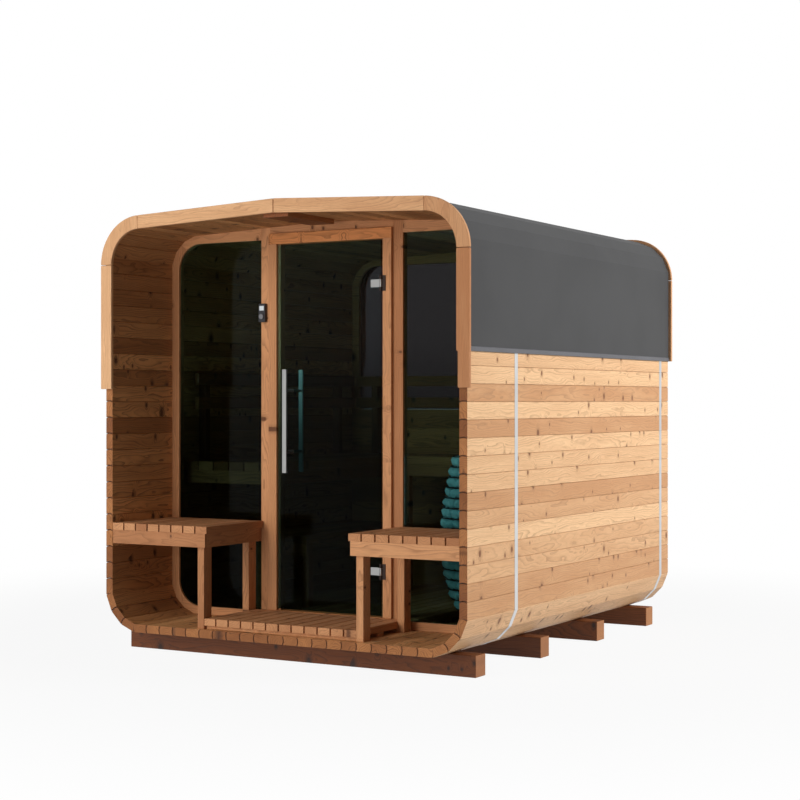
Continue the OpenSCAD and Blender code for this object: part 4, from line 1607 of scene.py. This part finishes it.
@dataclass
class StoveStones:
    """Loose stones stacked in rows between hoops, through which they bulge."""

    finishes: Finishes
    size: float = 0.056
    wire: float = 0.0035
    sunk: float = 0.007
    rows: int = 15
    bulge_low: float = 0.018
    bulge_high: float = 0.034
    rings: int = 3
    ring_pitch: float = 0.8
    crowding: float = 0.86
    top_share: float = 0.7
    roughness: float = 0.07
    seed: int = 11

    def masters(self, count: int = 5) -> list[Object]:
        """Model a few rough stones, each centred at the origin.

        Args:
            count: How many.

        Returns:
            The master stones.
        """
        made = []
        for k in range(count):
            deselect_all()
            bpy.ops.mesh.primitive_ico_sphere_add(subdivisions=2, radius=0.5)
            stone = bpy.context.active_object
            with editing(stone):
                bpy.ops.transform.vertex_random(offset=self.roughness, seed=self.seed + k)
                bpy.ops.transform.resize(value=(1.0, 0.85 + 0.05 * k, 0.95 - 0.05 * k))
            made.append(hidden(stone))
        return made

    def build(self) -> None:
        """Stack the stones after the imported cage's own outline."""
        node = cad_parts["stove_cage"]
        low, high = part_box("stove_cage")
        x, y = (low.x + high.x) / 2, (low.y + high.y) / 2
        reach: dict[float, float] = {}
        for v in node.data.vertices:
            height = round(v.co.z, 2)
            reach[height] = max(reach.get(height, 0.0), math.hypot(v.co.x - x, v.co.y - y))
        heights = sorted(reach)
        radii = [reach[z] for z in heights]
        pick = random.Random(self.seed)
        masters, stones, hoops = self.masters(), [], []
        for row in range(self.rows + 1):
            share = (row + 0.5) / self.rows
            z = low.z + share * (high.z - low.z)
            bulge = self.bulge_low + (self.bulge_high - self.bulge_low) * share
            rim = float(np.interp(z, heights, radii)) + bulge
            if row == self.rows:
                rim *= self.top_share
            step = low.z + row / self.rows * (high.z - low.z)
            bpy.ops.mesh.primitive_torus_add(
                location=(x, y, step), major_segments=56, minor_segments=6, minor_radius=self.wire,
                major_radius=float(np.interp(step, heights, radii)) + bulge - self.sunk)
            bpy.ops.object.transform_apply(location=True, rotation=False, scale=False)
            hoops.append(bpy.context.active_object)
            for ring in range(self.rings):
                r = rim - self.size * (0.5 + self.ring_pitch * ring)
                if r < 0.0:
                    continue
                count = max(1, round(2 * math.pi * r / (self.size * self.crowding)))
                for k in range(count):
                    turn = 2 * math.pi * (k + 0.5 * (row % 2) + 0.2 * pick.random()) / count
                    place = Vector((x + r * math.cos(turn), y + r * math.sin(turn), z))
                    matrix = (
                        Matrix.Translation(place)
                        @ Matrix.Rotation(6.28 * pick.random(), 4, (pick.random(), pick.random(), 1.0))
                        @ Matrix.Scale(self.size * (0.95 + 0.15 * pick.random()), 4)
                    )
                    stones.append(copy_of(pick.choice(masters), "stone", matrix))
        finish_piece(joined("stone_pile", stones), self.finishes.stone, ["stove_stones"])
        finish_piece(joined("stove_hoops", hoops), self.finishes.stove_steel)


def main() -> None:
    """Build the studio, then every sub-assembly in order."""
    build_studio()
    finishes = Finishes()
    wood = Carpentry(seed=7)
    section = Section.from_frame()
    StaveShell(section, finishes, wood).build()
    PlainBoards(finishes, wood).build()
    NodeBoards(finishes, wood).build()
    HotRoomBenches(finishes, wood).build()
    for side in ("left", "right"):
        PorchBench(side, finishes, wood).build()
    Duckboard("porch_duckboard", "porch_floor_slats", 12, finishes, wood).build()
    Duckboard("room_duckboard", "room_floor_slats", 10, finishes, wood).build()
    ControlUnit(finishes).build()
    StoveStones(finishes).build()
    dress_nodes(finishes)


if __name__ == "__main__":
    main()
